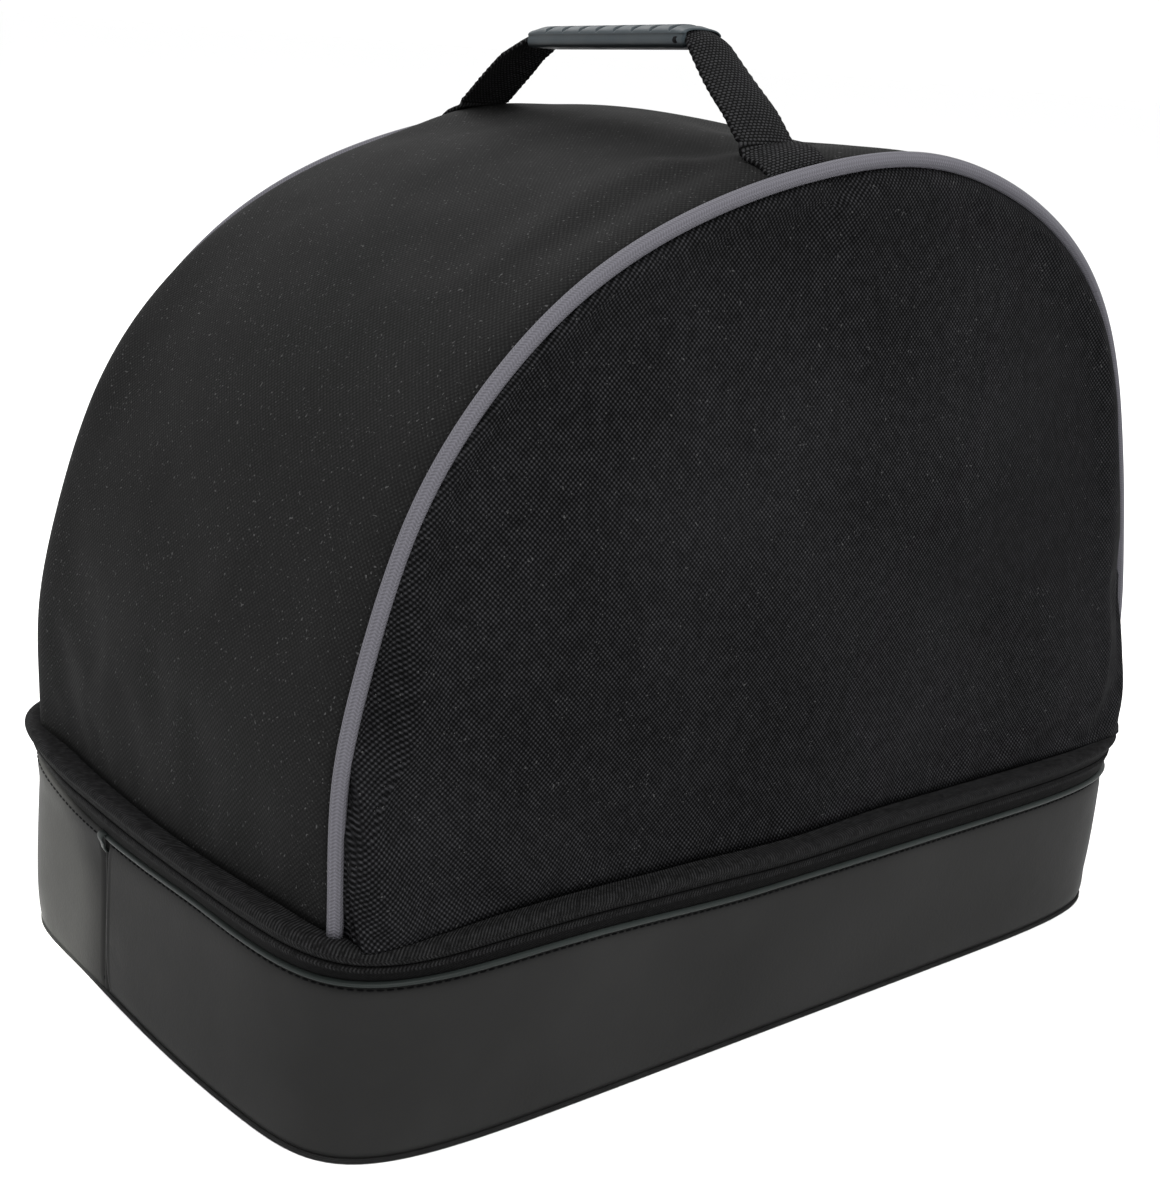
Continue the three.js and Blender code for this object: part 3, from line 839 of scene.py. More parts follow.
def gusset_out(row, y, uneven):
    """How far the gusset stands out from the arch at one place across it."""
    w = y / GUSSET_HALF
    share = row[1] / DOME_RISE
    crown = SIDE_CROWN + (TOP_CROWN - SIDE_CROWN) * share ** TOP_ONSET
    skew = TOP_SKEW * share ** TOP_ONSET * w
    from_edge = (1 - abs(w)) * GUSSET_HALF
    pillow = GUSSET_PILLOW * (1 - math.exp(-from_edge / 8.0)) - GUSSET_TUCK
    dents = GUSSET_DENTS * uneven(row[4], y) * min(1.0, from_edge / 30)
    roll = 0.0
    if y > 0:
        roll = BACK_ROLL * (1 - math.exp(-from_edge / 2.5)) * math.exp(-(from_edge / 20) ** 2)
        roll *= below_top(share)
    return (crown + skew) * (1 - w * w) + pillow + dents + roll + pull_fold(row, y)


def pull_fold(row, y):
    """The soft fold that the handle's feet pull up in the cloth beside them."""
    x = arch_place(row, 0, 0).x
    away = HANDLE_SHIFT - x
    beside = smooth_step((HANDLE_SHIFT - 14 - x) / 14) * (1 - smooth_step((HANDLE_SHIFT - 45 - x) / 90))
    ridge = FOLD_RISE * bump_at(y, -58 - FOLD_SLANT * away, 22) - FOLD_DEPTH * bump_at(y, -79, 15)
    lifted = FOOT_LIFT * bump_at(x, HANDLE_SHIFT, 45) * bump_at(abs(y), FOOT_PEAK, 24)
    return beside * ridge + (lifted if row[1] > DOME_RISE / 2 else 0.0)


def make_gusset():
    """The strip between the two lines of piping, crowned in between and tucked in at its edges."""
    rows, cols = 241, 81

    def place(s, w):
        row = arch_row(s)
        y = (2 * w - 1) * GUSSET_HALF
        return arch_place(row, gusset_out(row, y, GUSSET_UNEVEN), y)

    def outward(s):
        row = arch_row(s)
        return Vector((row[2], 0, row[3]))

    outer, inner = puffed("gusset_cloth", place, rows, cols, outward, 97, 33,
                          GUSSET_PRESSURE, GUSSET_SLACK, CLOTH_CAP)
    us = [row[4] for row in ARCH_LINE]
    vs = [GUSSET_HALF * 2 * j / (cols - 1) for j in range(cols)]
    return slab("gusset_strip", outer, inner, us, vs)


gusset = dress(make_gusset(), GUSSET_CLOTH, ["gusset"])


BACK_CORD_SUNK = 1.0
CORD_TURN = 1.1


def make_piping(name, side):
    """A knitted cord with a slightly flat face that looks out between the cloths."""
    centres, frames = [], []
    for row in ARCH_LINE:
        _, _, out_x, out_z, _ = row
        sunk = BACK_CORD_SUNK * below_top(row[1] / DOME_RISE) if side > 0 else 0.0
        centres.append(arch_place(row, -PIPING / 2 - sunk, side * PIPING_PLANE))
        outward = Vector((out_x, side * CORD_TURN, out_z)).normalized()
        frames.append((outward, outward.cross(Vector((out_z, 0, -out_x))).normalized()))
    cord = Rods()
    cord.add(centres, frames, [(PIPING / 2 * 0.9, PIPING / 2 * 1.02)] * len(centres), 20, 0.8)
    return cord.make(name)


dress(make_piping("cord_front", -1), BRAID, ["piping_front"])
dress(make_piping("cord_back", 1), BRAID, ["piping_back"])


# Zip: two ribbed tapes, the teeth between them and the hinge along the back

RIB_PITCH = 1.3
TOOTH_PITCH = 1.2
TOOTH_ROWS = ((-0.14, 0.15), (-0.12, 0.38), (0.0, 0.42), (0.12, 0.38), (0.14, 0.15))
TAPE_CLOTH = tape_finish("tape_cloth", (0.0030, 0.0030, 0.0031))


def ring_piece(name, rows, inner_side, inner_front, angles, distances, ring, ribs):
    """A strip along the outline: rows of (side, front, z, rib height) outside and two plain rows inside."""
    points = []
    for angle, along in zip(angles, distances):
        phase = 0.5 + 0.5 * math.cos(TURN * along / RIB_PITCH) if ribs else 0.0
        points += [outline_point(angle, s + phase * r, f + phase * r, z) for s, f, z, r in rows]
        points += [outline_point(angle, inner_side, inner_front, rows[k][2]) for k in (-1, 0)]
    cols = len(rows) + 2
    vs = [row[2] for row in rows] + [rows[-1][2], rows[0][2]]
    faces = grid_faces(len(angles), cols, 0, ring, True)
    uvs = grid_uvs(distances, vs, ring, True)
    if not ring:
        close_ends(faces, uvs, len(angles), cols)
    return closed_mesh(name, points, faces, uvs)


def smooth_rows(rows, count):
    """More rows on a smooth curve through a few of (side, front, z, rib height)."""
    table = np.array(rows, float)
    last = len(rows) - 1
    at = np.linspace(0, 1, len(rows))
    made = []
    for t in np.linspace(0, 1, count):
        i = min(last - 1, int(t * last))
        near = (table[max(0, min(last, i + k))] for k in (-1, 0, 1, 2))
        made.append(tuple(curve_between(*near, (t - at[i]) * last)))
    return made


RING_COUNT = 3200
ring_angles, ring_distances = outline_angles(RING_COUNT)

UPPER_ROWS = [
    (ZIP_STAND_OUT - 0.8, -1.1, ZIP_LINE + 0.1, 0.0),
    (ZIP_STAND_OUT + 0.4, -0.05, ZIP_LINE + 0.2, 0.16),
    (ZIP_STAND_OUT + 0.75, 0.15, ZIP_LINE + 1.3, 0.24),
    (ZIP_STAND_OUT + 1.3, 0.5, ZIP_LINE + 2.5, 0.22),
    (LIP_STAND_OUT - 0.5, LIP_STAND_OUT_FRONT - 0.3, ZIP_LINE + 3.9, 0.05),
    (LIP_STAND_OUT + 0.3, LIP_STAND_OUT_FRONT, ZIP_LINE + 5.2, 0.03),
    (LIP_STAND_OUT - 0.5, LIP_STAND_OUT_FRONT - 1.2, ZIP_LINE + 6.5, 0.16),
    (LIP_STAND_OUT - 2.6, LIP_STAND_OUT_FRONT - 4.0, ZIP_LINE + 7.2, 0.2),
    (-CREASE_SETBACK_SIDE - 1.0, -CREASE_SETBACK_FRONT - 0.6, CREASE, 0.0),
]
upper = ring_piece("tape_upper", smooth_rows(UPPER_ROWS, 22), -DOME_INSET - DOME_SHIFT - PADDING,
                   -CREASE_SETBACK_FRONT - PADDING, ring_angles, ring_distances, True, True)
dress(upper, TAPE_CLOTH, ["zip_band_upper"])

LOWER_ROWS = [
    (-0.6, -0.6, LOWER_FOOT - 0.6, 0.0),
    (0.4, -0.1, LOWER_FOOT + 1.0, 0.0),
    (1.0, 0.1, LOWER_FOOT + 3.2, 0.0),
    (ZIP_STAND_OUT + 0.1, 0.15, LOWER_FOOT + 5.0, 0.06),
    (ZIP_STAND_OUT + 0.5, 0.15, ZIP_LINE - 2.2, 0.24),
    (ZIP_STAND_OUT + 0.4, 0.05, ZIP_LINE - 0.2, 0.22),
    (ZIP_STAND_OUT - 0.8, -1.1, ZIP_LINE - 0.1, 0.0),
]
lower = ring_piece("tape_lower", smooth_rows(LOWER_ROWS, 18), -TAPE_THICKNESS, -TAPE_THICKNESS,
                   ring_angles, ring_distances, True, True)
dress(lower, TAPE_CLOTH, ["zip_band_lower"])


def make_teeth():
    """The zip's closed chain: small rounded teeth from the left rear corner round the front."""
    start = direction_at_width(-(HALF_WIDTH - HINGE_END_SETBACK))
    end = direction_at_width(HALF_WIDTH - HINGE_END_SETBACK) + TURN
    _, distances = outline_angles(2, start, end, closed=False)
    count = int(distances[-1] / TOOTH_PITCH)
    angles, _ = outline_angles(count, start, end, closed=False)
    points, faces = [], []
    ring = 6
    for i, angle in enumerate(angles):
        centre = outline_point(angle, ZIP_STAND_OUT - 0.35, -0.75, ZIP_LINE)
        ahead = outline_point(angle + 0.001, ZIP_STAND_OUT - 0.35, -0.75, ZIP_LINE)
        along = (ahead - centre).normalized()
        out = Vector((along.y, -along.x, 0))
        base = len(points)
        for z, r in TOOTH_ROWS:
            for j in range(ring):
                a = TURN * j / ring
                turned = along * (r * math.cos(a)) + out * (r * math.sin(a))
                points.append(centre + turned + Vector((0, 0, z)))
        last = len(TOOTH_ROWS) - 1
        faces += grid_faces(last + 1, ring, base, False, True)
        faces.append(tuple(base + j for j in reversed(range(ring))))
        faces.append(tuple(base + last * ring + j for j in range(ring)))
    return closed_mesh("zip_teeth", points, faces)


dress(make_teeth(), COIL_PLASTIC, ["zip_coil"])

# The cloth hinge that takes the teeth's place along the back
HINGE_REACH = HALF_WIDTH - HINGE_END_SETBACK - 1
HINGE_ROWS = [
    (-0.9, -0.9, ZIP_FOOT, 0.0),
    (0.2, 0.2, ZIP_LINE, 0.0),
    (-0.9, -0.9, ZIP_FOOT + COIL_HEIGHT, 0.0),
]
hinge_angles, hinge_distances = outline_angles(160, direction_at_width(HINGE_REACH),
                                               direction_at_width(-HINGE_REACH), closed=False)
hinge = ring_piece("hinge_cloth", smooth_rows(HINGE_ROWS, 7), -TAPE_THICKNESS, -TAPE_THICKNESS,
                   hinge_angles, hinge_distances, False, False)
dress(hinge, TAPE_CLOTH, ["back_hinge"])


# Base: leathercloth wall, welt, seams, stitches and floor

WALL_FOOT_TUCK = 1.6
WALL_TOP_TUCK = 1.1
WALL_BOW = 0.3
WALL_DENTS = 0.55
SEAM_PINCH = 3.0
SEAM_BEAD = 0.6
STITCH_GROOVE = 1.3
BACK_LENGTH_INSET = 2.6
WELT_COVER = 1.3


def wall_profile(v):
    """How far the wall stands in from the outline; v runs from 0 at its foot to 1 at its top."""
    tuck = WALL_FOOT_TUCK * math.exp(-v * 11) + WALL_TOP_TUCK * math.exp(-(1 - v) * 32)
    bow = -WALL_BOW * math.sin(math.pi * v)
    return tuck + bow


def seam_inset(near, behind):
    """How far a wall stands in near its seam; the back length also carries the stitches."""
    pinch = SEAM_PINCH * math.exp(-(near / 1.1) ** 1.5)
    bead = SEAM_BEAD * bump_at(near, 2.1, 1.8)
    if not behind:
        return pinch - bead
    groove = STITCH_GROOVE * bump_at(near, 4.0, 1.5)
    return pinch - bead + groove + BACK_LENGTH_INSET * math.exp(-near / 8)


def crowded_ends(angles, distances):
    """Adds places close to both ends, where the wall rolls into its seam."""
    total = distances[-1]
    extra = [0.3, 0.6, 0.9, 1.3, 1.7, 2.1, 2.6, 3.1, 3.5, 3.9, 4.3, 4.8, 5.6, 6.6, 8.0, 10.0]
    inside = [d for d in distances if 11 < d < total - 11]
    wanted = [0.0] + extra + inside + [total - e for e in reversed(extra)] + [total]
    return [float(a) for a in np.interp(wanted, distances, angles)], wanted


def make_wall(name, start, end, seed, foot, top):
    """One length of the leathercloth wall, rolled into its seams; only the back one covers the welt."""
    behind = name == "wall_back"
    count = 300 if behind else 640
    rows_up = 30
    uneven = wave_noise(seed, 14, 190, 45)
    angles, distances = outline_angles(count, start, end, closed=False)
    angles, distances = crowded_ends(angles, distances)
    outer, inner = [], []
    total = distances[-1]
    for angle, along in zip(angles, distances):
        near_seam = min(along, total - along)
        seam = seam_inset(near_seam, behind)
        cover = WELT_COVER * smooth_step((near_seam - 1) / 5) if behind else 0.0
        out_line, in_line = [], []
        for j in range(rows_up + 1):
            v = j / rows_up
            taper = (1 - v) ** 1.2
            quiet = math.sin(math.pi * v) ** 0.5
            inset = wall_profile(v) + seam * quiet - WALL_DENTS * uneven(along, v * 60) * quiet
            inset -= cover * smooth_step((v - 0.8) / 0.2)
            z = foot + (top - foot) * v
            side = -FOOT_TAPER_SIDE * taper - inset
            front_in = -FOOT_TAPER_FRONT * taper - inset
            squareness = SQUARENESS + (FOOT_SQUARENESS - SQUARENESS) * taper
            out_line.append(outline_point(angle, side, front_in, z, squareness))
            in_line.append(outline_point(angle, side - WALL, front_in - WALL, z, squareness))
        outer.append(out_line)
        inner.append(in_line)
    vs = [(top - foot) * j / rows_up for j in range(rows_up + 1)]
    return slab(name, outer, inner, distances, vs)


SEAM_DEPTH = HALF_DEPTH - SEAM_SETBACK
SEAM_TURN = GAP / HALF_WIDTH / 2
BACK_WALL_FOOT = 0.4
BACK_WALL_TOP = WELT_FOOT + WELT_HEIGHT
left_seam = direction_at_depth(SEAM_DEPTH, -1)
right_seam = direction_at_depth(SEAM_DEPTH, 1)
front_wall = make_wall("wall_front", left_seam + SEAM_TURN, right_seam + TURN - SEAM_TURN, 21,
                       WALL_FOOT, BASE_HEIGHT)
dress(front_wall, LEATHERCLOTH, ["base_wrap_front"])
back_wall = make_wall("wall_back", right_seam + SEAM_TURN, left_seam - SEAM_TURN, 22,
                      BACK_WALL_FOOT, BACK_WALL_TOP)
dress(back_wall, LEATHERCLOTH, ["base_wrap_back"])


# The welt's face from its foot up: how far out at the side and the front, height, freedom to wander
WELT_ROWS = [
    (-1.3, -1.3, WELT_FOOT, 0.3),
    (-0.1, -0.1, WELT_FOOT + 0.2, 1.0),
    (0.75, 0.75, WELT_FOOT + 0.8, 1.0),
    (0.95, 0.95, WELT_FOOT + 1.4, 1.0),
    (0.5, 0.5, WELT_FOOT + 2.05, 0.8),
    (-1.0, -1.0, WELT_FOOT + WELT_HEIGHT, 0.0),
]
WELT_WANDER = 0.22
WELT_SWELL = 0.16
WELT_SUNK_BEHIND = 1.8


def make_welt():
    """The wall's turned top edge: a thin roll above a sewn groove, a little uneven."""
    count = 900
    angles, distances = outline_angles(count)
    uneven = wave_noise(31, 10, 120, 18)
    profile = smooth_rows(WELT_ROWS, 14)
    outer, inner = [], []
    for angle, along in zip(angles, distances):
        lift = WELT_WANDER * uneven(along, 0)
        past_seam = outline_point(angle, 0, 0, 0).y - SEAM_DEPTH
        swell = WELT_SWELL * uneven(along, 50) - WELT_SUNK_BEHIND * smooth_step(past_seam / 5)
        out_line, in_line = [], []
        for j, (out, _, z, free) in enumerate(profile):
            out_line.append(outline_point(angle, out + swell, out + swell, z + lift * free))
            in_line.append(outline_point(angle, -WELT_DEPTH, -WELT_DEPTH, z + lift * free))
        outer.append(out_line)
        inner.append(in_line)
    vs = [row[2] for row in profile]
    return slab("welt_roll", outer, inner, distances, vs, ring=True)


dress(make_welt(), WELT_LEATHER, ["base_welt"])


# The floor's rim from its underside to its top: how far out and how high, and the lengths along it
FLOOR_RIM = [
    (-3.0, 0.0),
    (-1.4, 0.0),
    (-1.0, 0.4),
    (-1.0, 1.6),
    (-1.4, FLOOR_THICKNESS),
    (-3.0, FLOOR_THICKNESS),
]
FLOOR_RIM_LENGTHS = [0.0, 1.6, 2.2, 3.4, 4.0, 5.6]


def make_bottom():
    """The floor panel, whose dark bound edge shows under the wall."""
    count = 360
    angles, distances = outline_angles(count)
    points, cols = [], len(FLOOR_RIM)
    for angle in angles:
        points += [outline_point(angle, out - FOOT_TAPER_SIDE, out - FOOT_TAPER_FRONT, z, FOOT_SQUARENESS)
                   for out, z in FLOOR_RIM]
    faces = grid_faces(count, cols, 0, True)
    uvs = grid_uvs(distances, FLOOR_RIM_LENGTHS, True)
    for last in (0, cols - 1):
        faces.append(tuple(i * cols + last for i in range(count)))
        uvs += [(points[i * cols].x * MM, points[i * cols].y * MM) for i in range(count)]
    return closed_mesh("floor_panel", points, faces, uvs)


dress(make_bottom(), DARK_BINDING, ["base_bottom"])


# Handle: webbing, its stitches, and the moulded grip

def gusset_top(x, y):
    """Height of the gusset's crown near its top."""
    best = min(ARCH_LINE, key=lambda row: abs(arch_place(row, 0, 0).x - x) + (row[1] < DOME_RISE / 2) * 999)
    return arch_place(best, 0, 0).z + gusset_out(best, y, lambda along, across: 0.0)


GRIP_HALF = GRIP_LENGTH / 2
GRIP_MIDDLE = gusset_top(HANDLE_SHIFT, 0) + HANDLE_RISE + GRIP_THICKNESS / 2
STRAP_END = GUSSET_HALF - GAP
FOLD = STRAP_END - FOOT_LENGTH


gusset_skin = skin_of(gusset)


def gusset_height(x, y):
    """Where the finished gusset's outer face lies near its top."""
    hit, _, _, _ = gusset_skin.ray_cast(Vector((x, y, 500)), Vector((0, 0, -1)))
    return hit.z if hit else gusset_top(x, y)


STRAP_TUCK = 1.8
STRAP_CURL = 2.4
SCALLOP = 0.28
SCALLOP_PITCH = 3.2
STRAP_BOW = 2.4
REAR_FOOT_WIDTH = 23.0
REAR_FOOT_SINK = 1.0


def evened(values):
    """A row of values with its bends rounded off a little."""
    inside = [(values[i - 1] + 2 * values[i] + values[i + 1]) / 4 for i in range(1, len(values) - 1)]
    return [values[0]] + inside + [values[-1]]


def strap_line(side, bow, sink):
    """The strap's middle line from its foot into the grip: distances from the bag's middle, and heights."""
    lift = WEBBING / 2 + 0.3
    foot_middle = HANDLE_SHIFT + side * FOOT_SKEW
    grip_height = GRIP_MIDDLE - side * GRIP_TILT + 0.9
    fold_height = gusset_height(foot_middle, side * FOLD) + lift - sink
    ys = [STRAP_END + 0.4 - (FOOT_LENGTH - 2) * k / 9 for k in range(10)]
    zs = []
    for y in ys:
        tuck = STRAP_TUCK * smooth_step((y - STRAP_END + 4) / 4)
        zs.append(gusset_height(foot_middle, side * y) + lift - tuck)
    knots = np.array([
        (FOLD + 1.0, fold_height + 0.3),
        (FOLD + 0.4, fold_height + 2.4),
        (FOLD - 9.5 + bow, fold_height + 12.5),
        (FOLD - 20.0 + bow, fold_height + 22.6),
        (GRIP_HALF + 3.6, grip_height - 2.2),
        (GRIP_HALF - 1.5, grip_height + 0.2),
        (GRIP_HALF - 6.0, grip_height + 0.2),
    ])
    at = np.linspace(0, 1, len(knots))
    wanted = np.linspace(0, 1, 60)
    ys += [float(y) for y in np.interp(wanted, at, knots[:, 0])]
    zs += [float(z) for z in np.interp(wanted, at, knots[:, 1])]
    for _ in range(3):
        ys = evened(ys)
        zs = evened(zs)
    return ys, zs


def make_strap(name, side, foot_width, bow, sink):
    """Webbing that lies on the gusset beside the piping, turns up at the fold and runs into the grip."""
    ys, zs = strap_line(side, bow, sink)
    outer, inner, us = [], [], [0.0]
    across = 16
    total = len(ys) - 1
    for i in range(len(ys)):
        before, after = max(0, i - 1), min(total, i + 1)
        dy, dz = ys[after] - ys[before], zs[after] - zs[before]
        length = math.hypot(dy, dz)
        normal_y, normal_z = dz / length, -dy / length
        if i:
            us.append(us[-1] + math.hypot(ys[i] - ys[i - 1], zs[i] - zs[i - 1]))
        share = smooth_step((i - 12) / (total - 12))
        gathered = smooth_step((i - 30) / (total - 34))
        width = foot_width + (WEBBING_WIDTH_AT_GRIP - foot_width) * gathered
        middle = HANDLE_SHIFT + side * (FOOT_SKEW + (GRIP_SKEW - FOOT_SKEW) * share)
        risen = min(1.0, max(0.0, (i - 10) / (total - 10)))
        curl = STRAP_CURL * math.sin(math.pi * risen) + 0.6 * share
        on_gusset = smooth_step((14 - i) / 6)
        out_line, in_line = [], []
        for j in range(across + 1):
            w = 2 * j / across - 1
            scallop = SCALLOP * math.sin(TURN * us[-1] / SCALLOP_PITCH) * abs(w) ** 5
            x = middle + w * (width / 2 + scallop)
            fall = 0.0
            if on_gusset:
                here = gusset_height(middle, side * ys[i])
                fall = (gusset_height(x, side * ys[i]) - here) * on_gusset
            cup = -curl * w * w
            selvedge = WEBBING / 2 * (1 - 0.35 * abs(w) ** 6)
            y = ys[i] + normal_y * cup
            z = zs[i] + normal_z * cup + fall
            out_line.append(Vector((x, side * (y + normal_y * selvedge), z + normal_z * selvedge)))
            in_line.append(Vector((x, side * (y - normal_y * selvedge), z - normal_z * selvedge)))
        outer.append(out_line)
        inner.append(in_line)
    vs = [WEBBING_WIDTH * j / across for j in range(across + 1)]
    return slab(name, outer, inner, us, vs)


front_strap = make_strap("webbing_front", -1, WEBBING_WIDTH, STRAP_BOW, 0.0)
dress(front_strap, WEBBING_CLOTH, ["handle_strap_front"])
back_strap = make_strap("webbing_back", 1, REAR_FOOT_WIDTH, 0.0, REAR_FOOT_SINK)
dress(back_strap, WEBBING_CLOTH, ["handle_strap_back"])


GRIP_WALL = 1.3
GRIP_MOUTH = 7.0
NOTCHES = 8
NOTCH_PITCH = 12.0
GRIP_RIM = -0.5
NOTCH_SHIFT = -5.0
NOTCH_WIDTH = 1.7
NOTCH_DEPTH = 0.36
NOTCH_SLANT = 0.25
PARTING_GROOVE = 0.4
DOME_DROP = 1.1
END_DROP = 1.5
HOLE_FROM_END = 4.8
HOLE_BELOW = 2.2
HOLE_RADIUS = 1.2


def grip_middle(s):
    """The grip's middle line: s runs from -1 at its front end to 1 at its back end."""
    return Vector((HANDLE_SHIFT + GRIP_SKEW * s, GRIP_HALF * s, GRIP_MIDDLE - GRIP_TILT * s))


def grip_section(angle, inset):
    """A point of the grip's outline across: flat underneath, upright sides and a domed top."""
    c, n = math.cos(angle), math.sin(angle)
    half = GRIP_WIDTH / 2 - inset
    if n >= 0:
        rise = GRIP_THICKNESS / 2 - GRIP_RIM - inset - DOME_DROP
        return math.copysign(abs(c) ** 0.8, c) * half, GRIP_RIM + rise * n ** 0.8
    fall = GRIP_THICKNESS / 2 + GRIP_RIM - inset
    return math.copysign(abs(c) ** 0.22, c) * half, GRIP_RIM - fall * abs(n) ** 0.5


def make_grip():
    """The moulded grip: upright sides, a domed top with eight notches, and an open mouth at each end."""
    rows = 260
    sides = 96
    stations = [(2 * i / rows - 1, 0.0) for i in range(rows + 1)]
    first, last = stations[0][0], stations[-1][0]
    deep = 1 - GRIP_MOUTH / GRIP_HALF
    stations = [(-deep, GRIP_WALL), (first, GRIP_WALL)] + stations + [(last, GRIP_WALL), (deep, GRIP_WALL)]
    outer = []
    lengths = []
    for s, inset in stations:
        y = GRIP_HALF * s
        round_off = 0.0 if inset else 0.7 * max(0.0, 1 - (GRIP_HALF - abs(y)) / 1.2) ** 2
        line = []
        for k in range(sides):
            angle = TURN * k / sides
            x, z = grip_section(angle, inset + round_off)
            if z > GRIP_RIM:
                near_end = smooth_step(1 - (GRIP_HALF - abs(y)) / 9)
                z -= END_DROP * near_end * (z - GRIP_RIM) / GRIP_THICKNESS * 2
            if not inset:
                slant = y - NOTCH_SHIFT - NOTCH_SLANT * abs(x)
                near = min(abs(slant - NOTCH_PITCH * (m - (NOTCHES - 1) / 2)) for m in range(NOTCHES))
                width = NOTCH_WIDTH * min(1.0, (z - GRIP_RIM - 1.2) / 1.6)
                if width > 0.1:
                    cut = 1 - NOTCH_DEPTH * max(0.0, 1 - (near / width) ** 2)
                    x, z = x * cut, GRIP_RIM + (z - GRIP_RIM) * cut
                rim = max(0.0, 1 - abs(z - GRIP_RIM) / 0.6)
                x -= math.copysign(PARTING_GROOVE * rim, x) if abs(x) > GRIP_WIDTH * 0.4 else 0.0
            line.append(grip_middle(s) + Vector((x, 0, z)))
        outer.append(line)
        lengths.append(y)
    points = [p for line in outer for p in line]
    count = len(outer)
    faces = grid_faces(count, sides, 0, False, True)
    uvs = grid_uvs(lengths, [70.0 * k / sides for k in range(sides)], False, True)
    close_ends(faces, uvs, count, sides)
    return closed_mesh("grip_body", points, faces, uvs)


dress(make_grip(), GRIP_PLASTIC, ["handle_grip"])


def make_hole_shade():
    """Black plugs, a little proud of the grip, that paint the shade of the small hole in each side of the
    grip, near its front end.
    """
    middle = grip_middle((HOLE_FROM_END - GRIP_HALF) / GRIP_HALF) - Vector((0, 0, HOLE_BELOW))
    along, up = Vector((0, 1, 0)), Vector((0, 0, 1))
    reaches = (GRIP_WIDTH / 2 - 1.5, GRIP_WIDTH / 2 + 0.04)
    hole_shade = Rods()
    for side in (-1, 1):
        centres = [middle + Vector((side * reach, 0, 0)) for reach in reaches]
        hole_shade.add(centres, [(along, up)] * 2, [(HOLE_RADIUS * 1.3, HOLE_RADIUS)] * 2, 28)
    return hole_shade.make("grip_hole_shade")


# The holes are painted shade: black plugs with the thread's finish.
dress(make_hole_shade(), BLACK_THREAD_AND_HOLE_SHADE)


# The slider's parts: a place along each, then half its thickness and half its width there
SLIDER_BODY = [
    (-6.5, 1.0, 2.2),
    (-6.0, 1.5, 2.9),
    (-3.0, 1.8, 3.2),
    (1.0, 1.9, 3.6),
    (4.5, 1.8, 4.3),
    (6.2, 1.5, 4.2),
    (6.8, 1.0, 3.6),
]
SLIDER_PULL = [
    (1.6, 0.5, 1.0),
    (1.2, 0.7, 1.9),
    (-2.0, 0.7, 2.1),
    (-9.0, 0.7, 2.8),
    (-17.0, 0.7, 3.3),
    (-19.5, 0.7, 2.9),
    (-20.5, 0.4, 1.6),
]
BRIDGE_LENGTH = 8.4
BRIDGE_FOOT = 1.4
BRIDGE_RISE = 2.2
PULL_OUT = 3.0


def make_slider():
    """The zip's slider: a waisted body, a bridge over it and a flat pull that hangs from the bridge."""
    low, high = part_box("zip_slider")
    middle = (Vector(low) + Vector(high)) / 2 / MM
    along, up, out = Vector((1, 0, 0)), Vector((0, 0, 1)), Vector((0, 1, 0))
    parts = Rods()
    body = [middle + along * x for x, _, _ in SLIDER_BODY]
    parts.add(body, [(out, up)] * len(body), [(t, w) for _, t, w in SLIDER_BODY], 24, 0.6)
    bridge, frames = [], []
    for k in range(11):
        c, s = math.cos(math.pi * k / 10), math.sin(math.pi * k / 10)
        rise = BRIDGE_FOOT + BRIDGE_RISE * s ** 0.7
        bridge.append(middle + along * (-BRIDGE_LENGTH / 2 * c) + out * rise)
        frames.append(((out * s - along * c).normalized(), up))
    parts.add(bridge, frames, [(0.6, 1.1)] * len(bridge), 12, 0.8)
    pull = [middle + out * PULL_OUT + up * z for z, _, _ in SLIDER_PULL]
    parts.add(pull, [(out, along)] * len(pull), [(t, w) for _, t, w in SLIDER_PULL], 24, 0.5)
    return parts.make("slider")


dress(make_slider(), SLIDER_METAL, ["zip_slider"])


# Stitches

# One stitch: share of its length, share of its radius, and how far it stands out, in radii
STITCH = ((0.0, 0.35, -0.6), (0.15, 0.9, 0.1), (0.5, 1.0, 0.35), (0.85, 0.9, 0.1), (1.0, 0.35, -0.6))
WELT_STITCH_PITCH = 3.2
WELT_STITCH_RADIUS = 0.34
SEAM_STITCH_PITCH = 3.4
SEAM_STITCH_RADIUS = 0.5
SEAM_STITCH_SETBACK = 3.9
JOIN_SETBACK = 1.6

# The welt's loop at a seam: how far out, and how far above the wall's top
WELT_LOOP = [
    (-1.5, -5.0),
    (-0.3, -4.4),
    (0.5, -3.0),
    (0.9, -1.2),
    (1.7, 0.5),
    (1.9, 1.6),
    (1.2, 2.5),
    (-0.8, 3.0),
]


def stitch_line(name, places, outs, radius):
    """Short round threads, each between two places, sunk at both ends."""
    row = Rods()
    for (a, b), out in zip(places, outs):
        side = (b - a).cross(out).normalized()
        centres = [a.lerp(b, t) + out * (radius * lift) for t, _, lift in STITCH]
        row.add(centres, [(out, side)] * len(STITCH), [(radius * r, radius * r) for _, r, _ in STITCH], 6)
    dress(row.make(name), BLACK_THREAD_AND_HOLE_SHADE)


def on_wall(skin, angle, z):
    """Where a line from far outside meets the wall, and the way out from there."""
    far = outline_point(angle, 40, 40, z)
    along = (outline_point(angle + 0.001, 0, 0, z) - outline_point(angle - 0.001, 0, 0, z)).normalized()
    out = Vector((along.y, -along.x, 0))
    hit, _, _, _ = skin.ray_cast(far, Vector((-math.cos(angle), -math.sin(angle), 0)))
    return hit or outline_point(angle, 0, 0, z), out


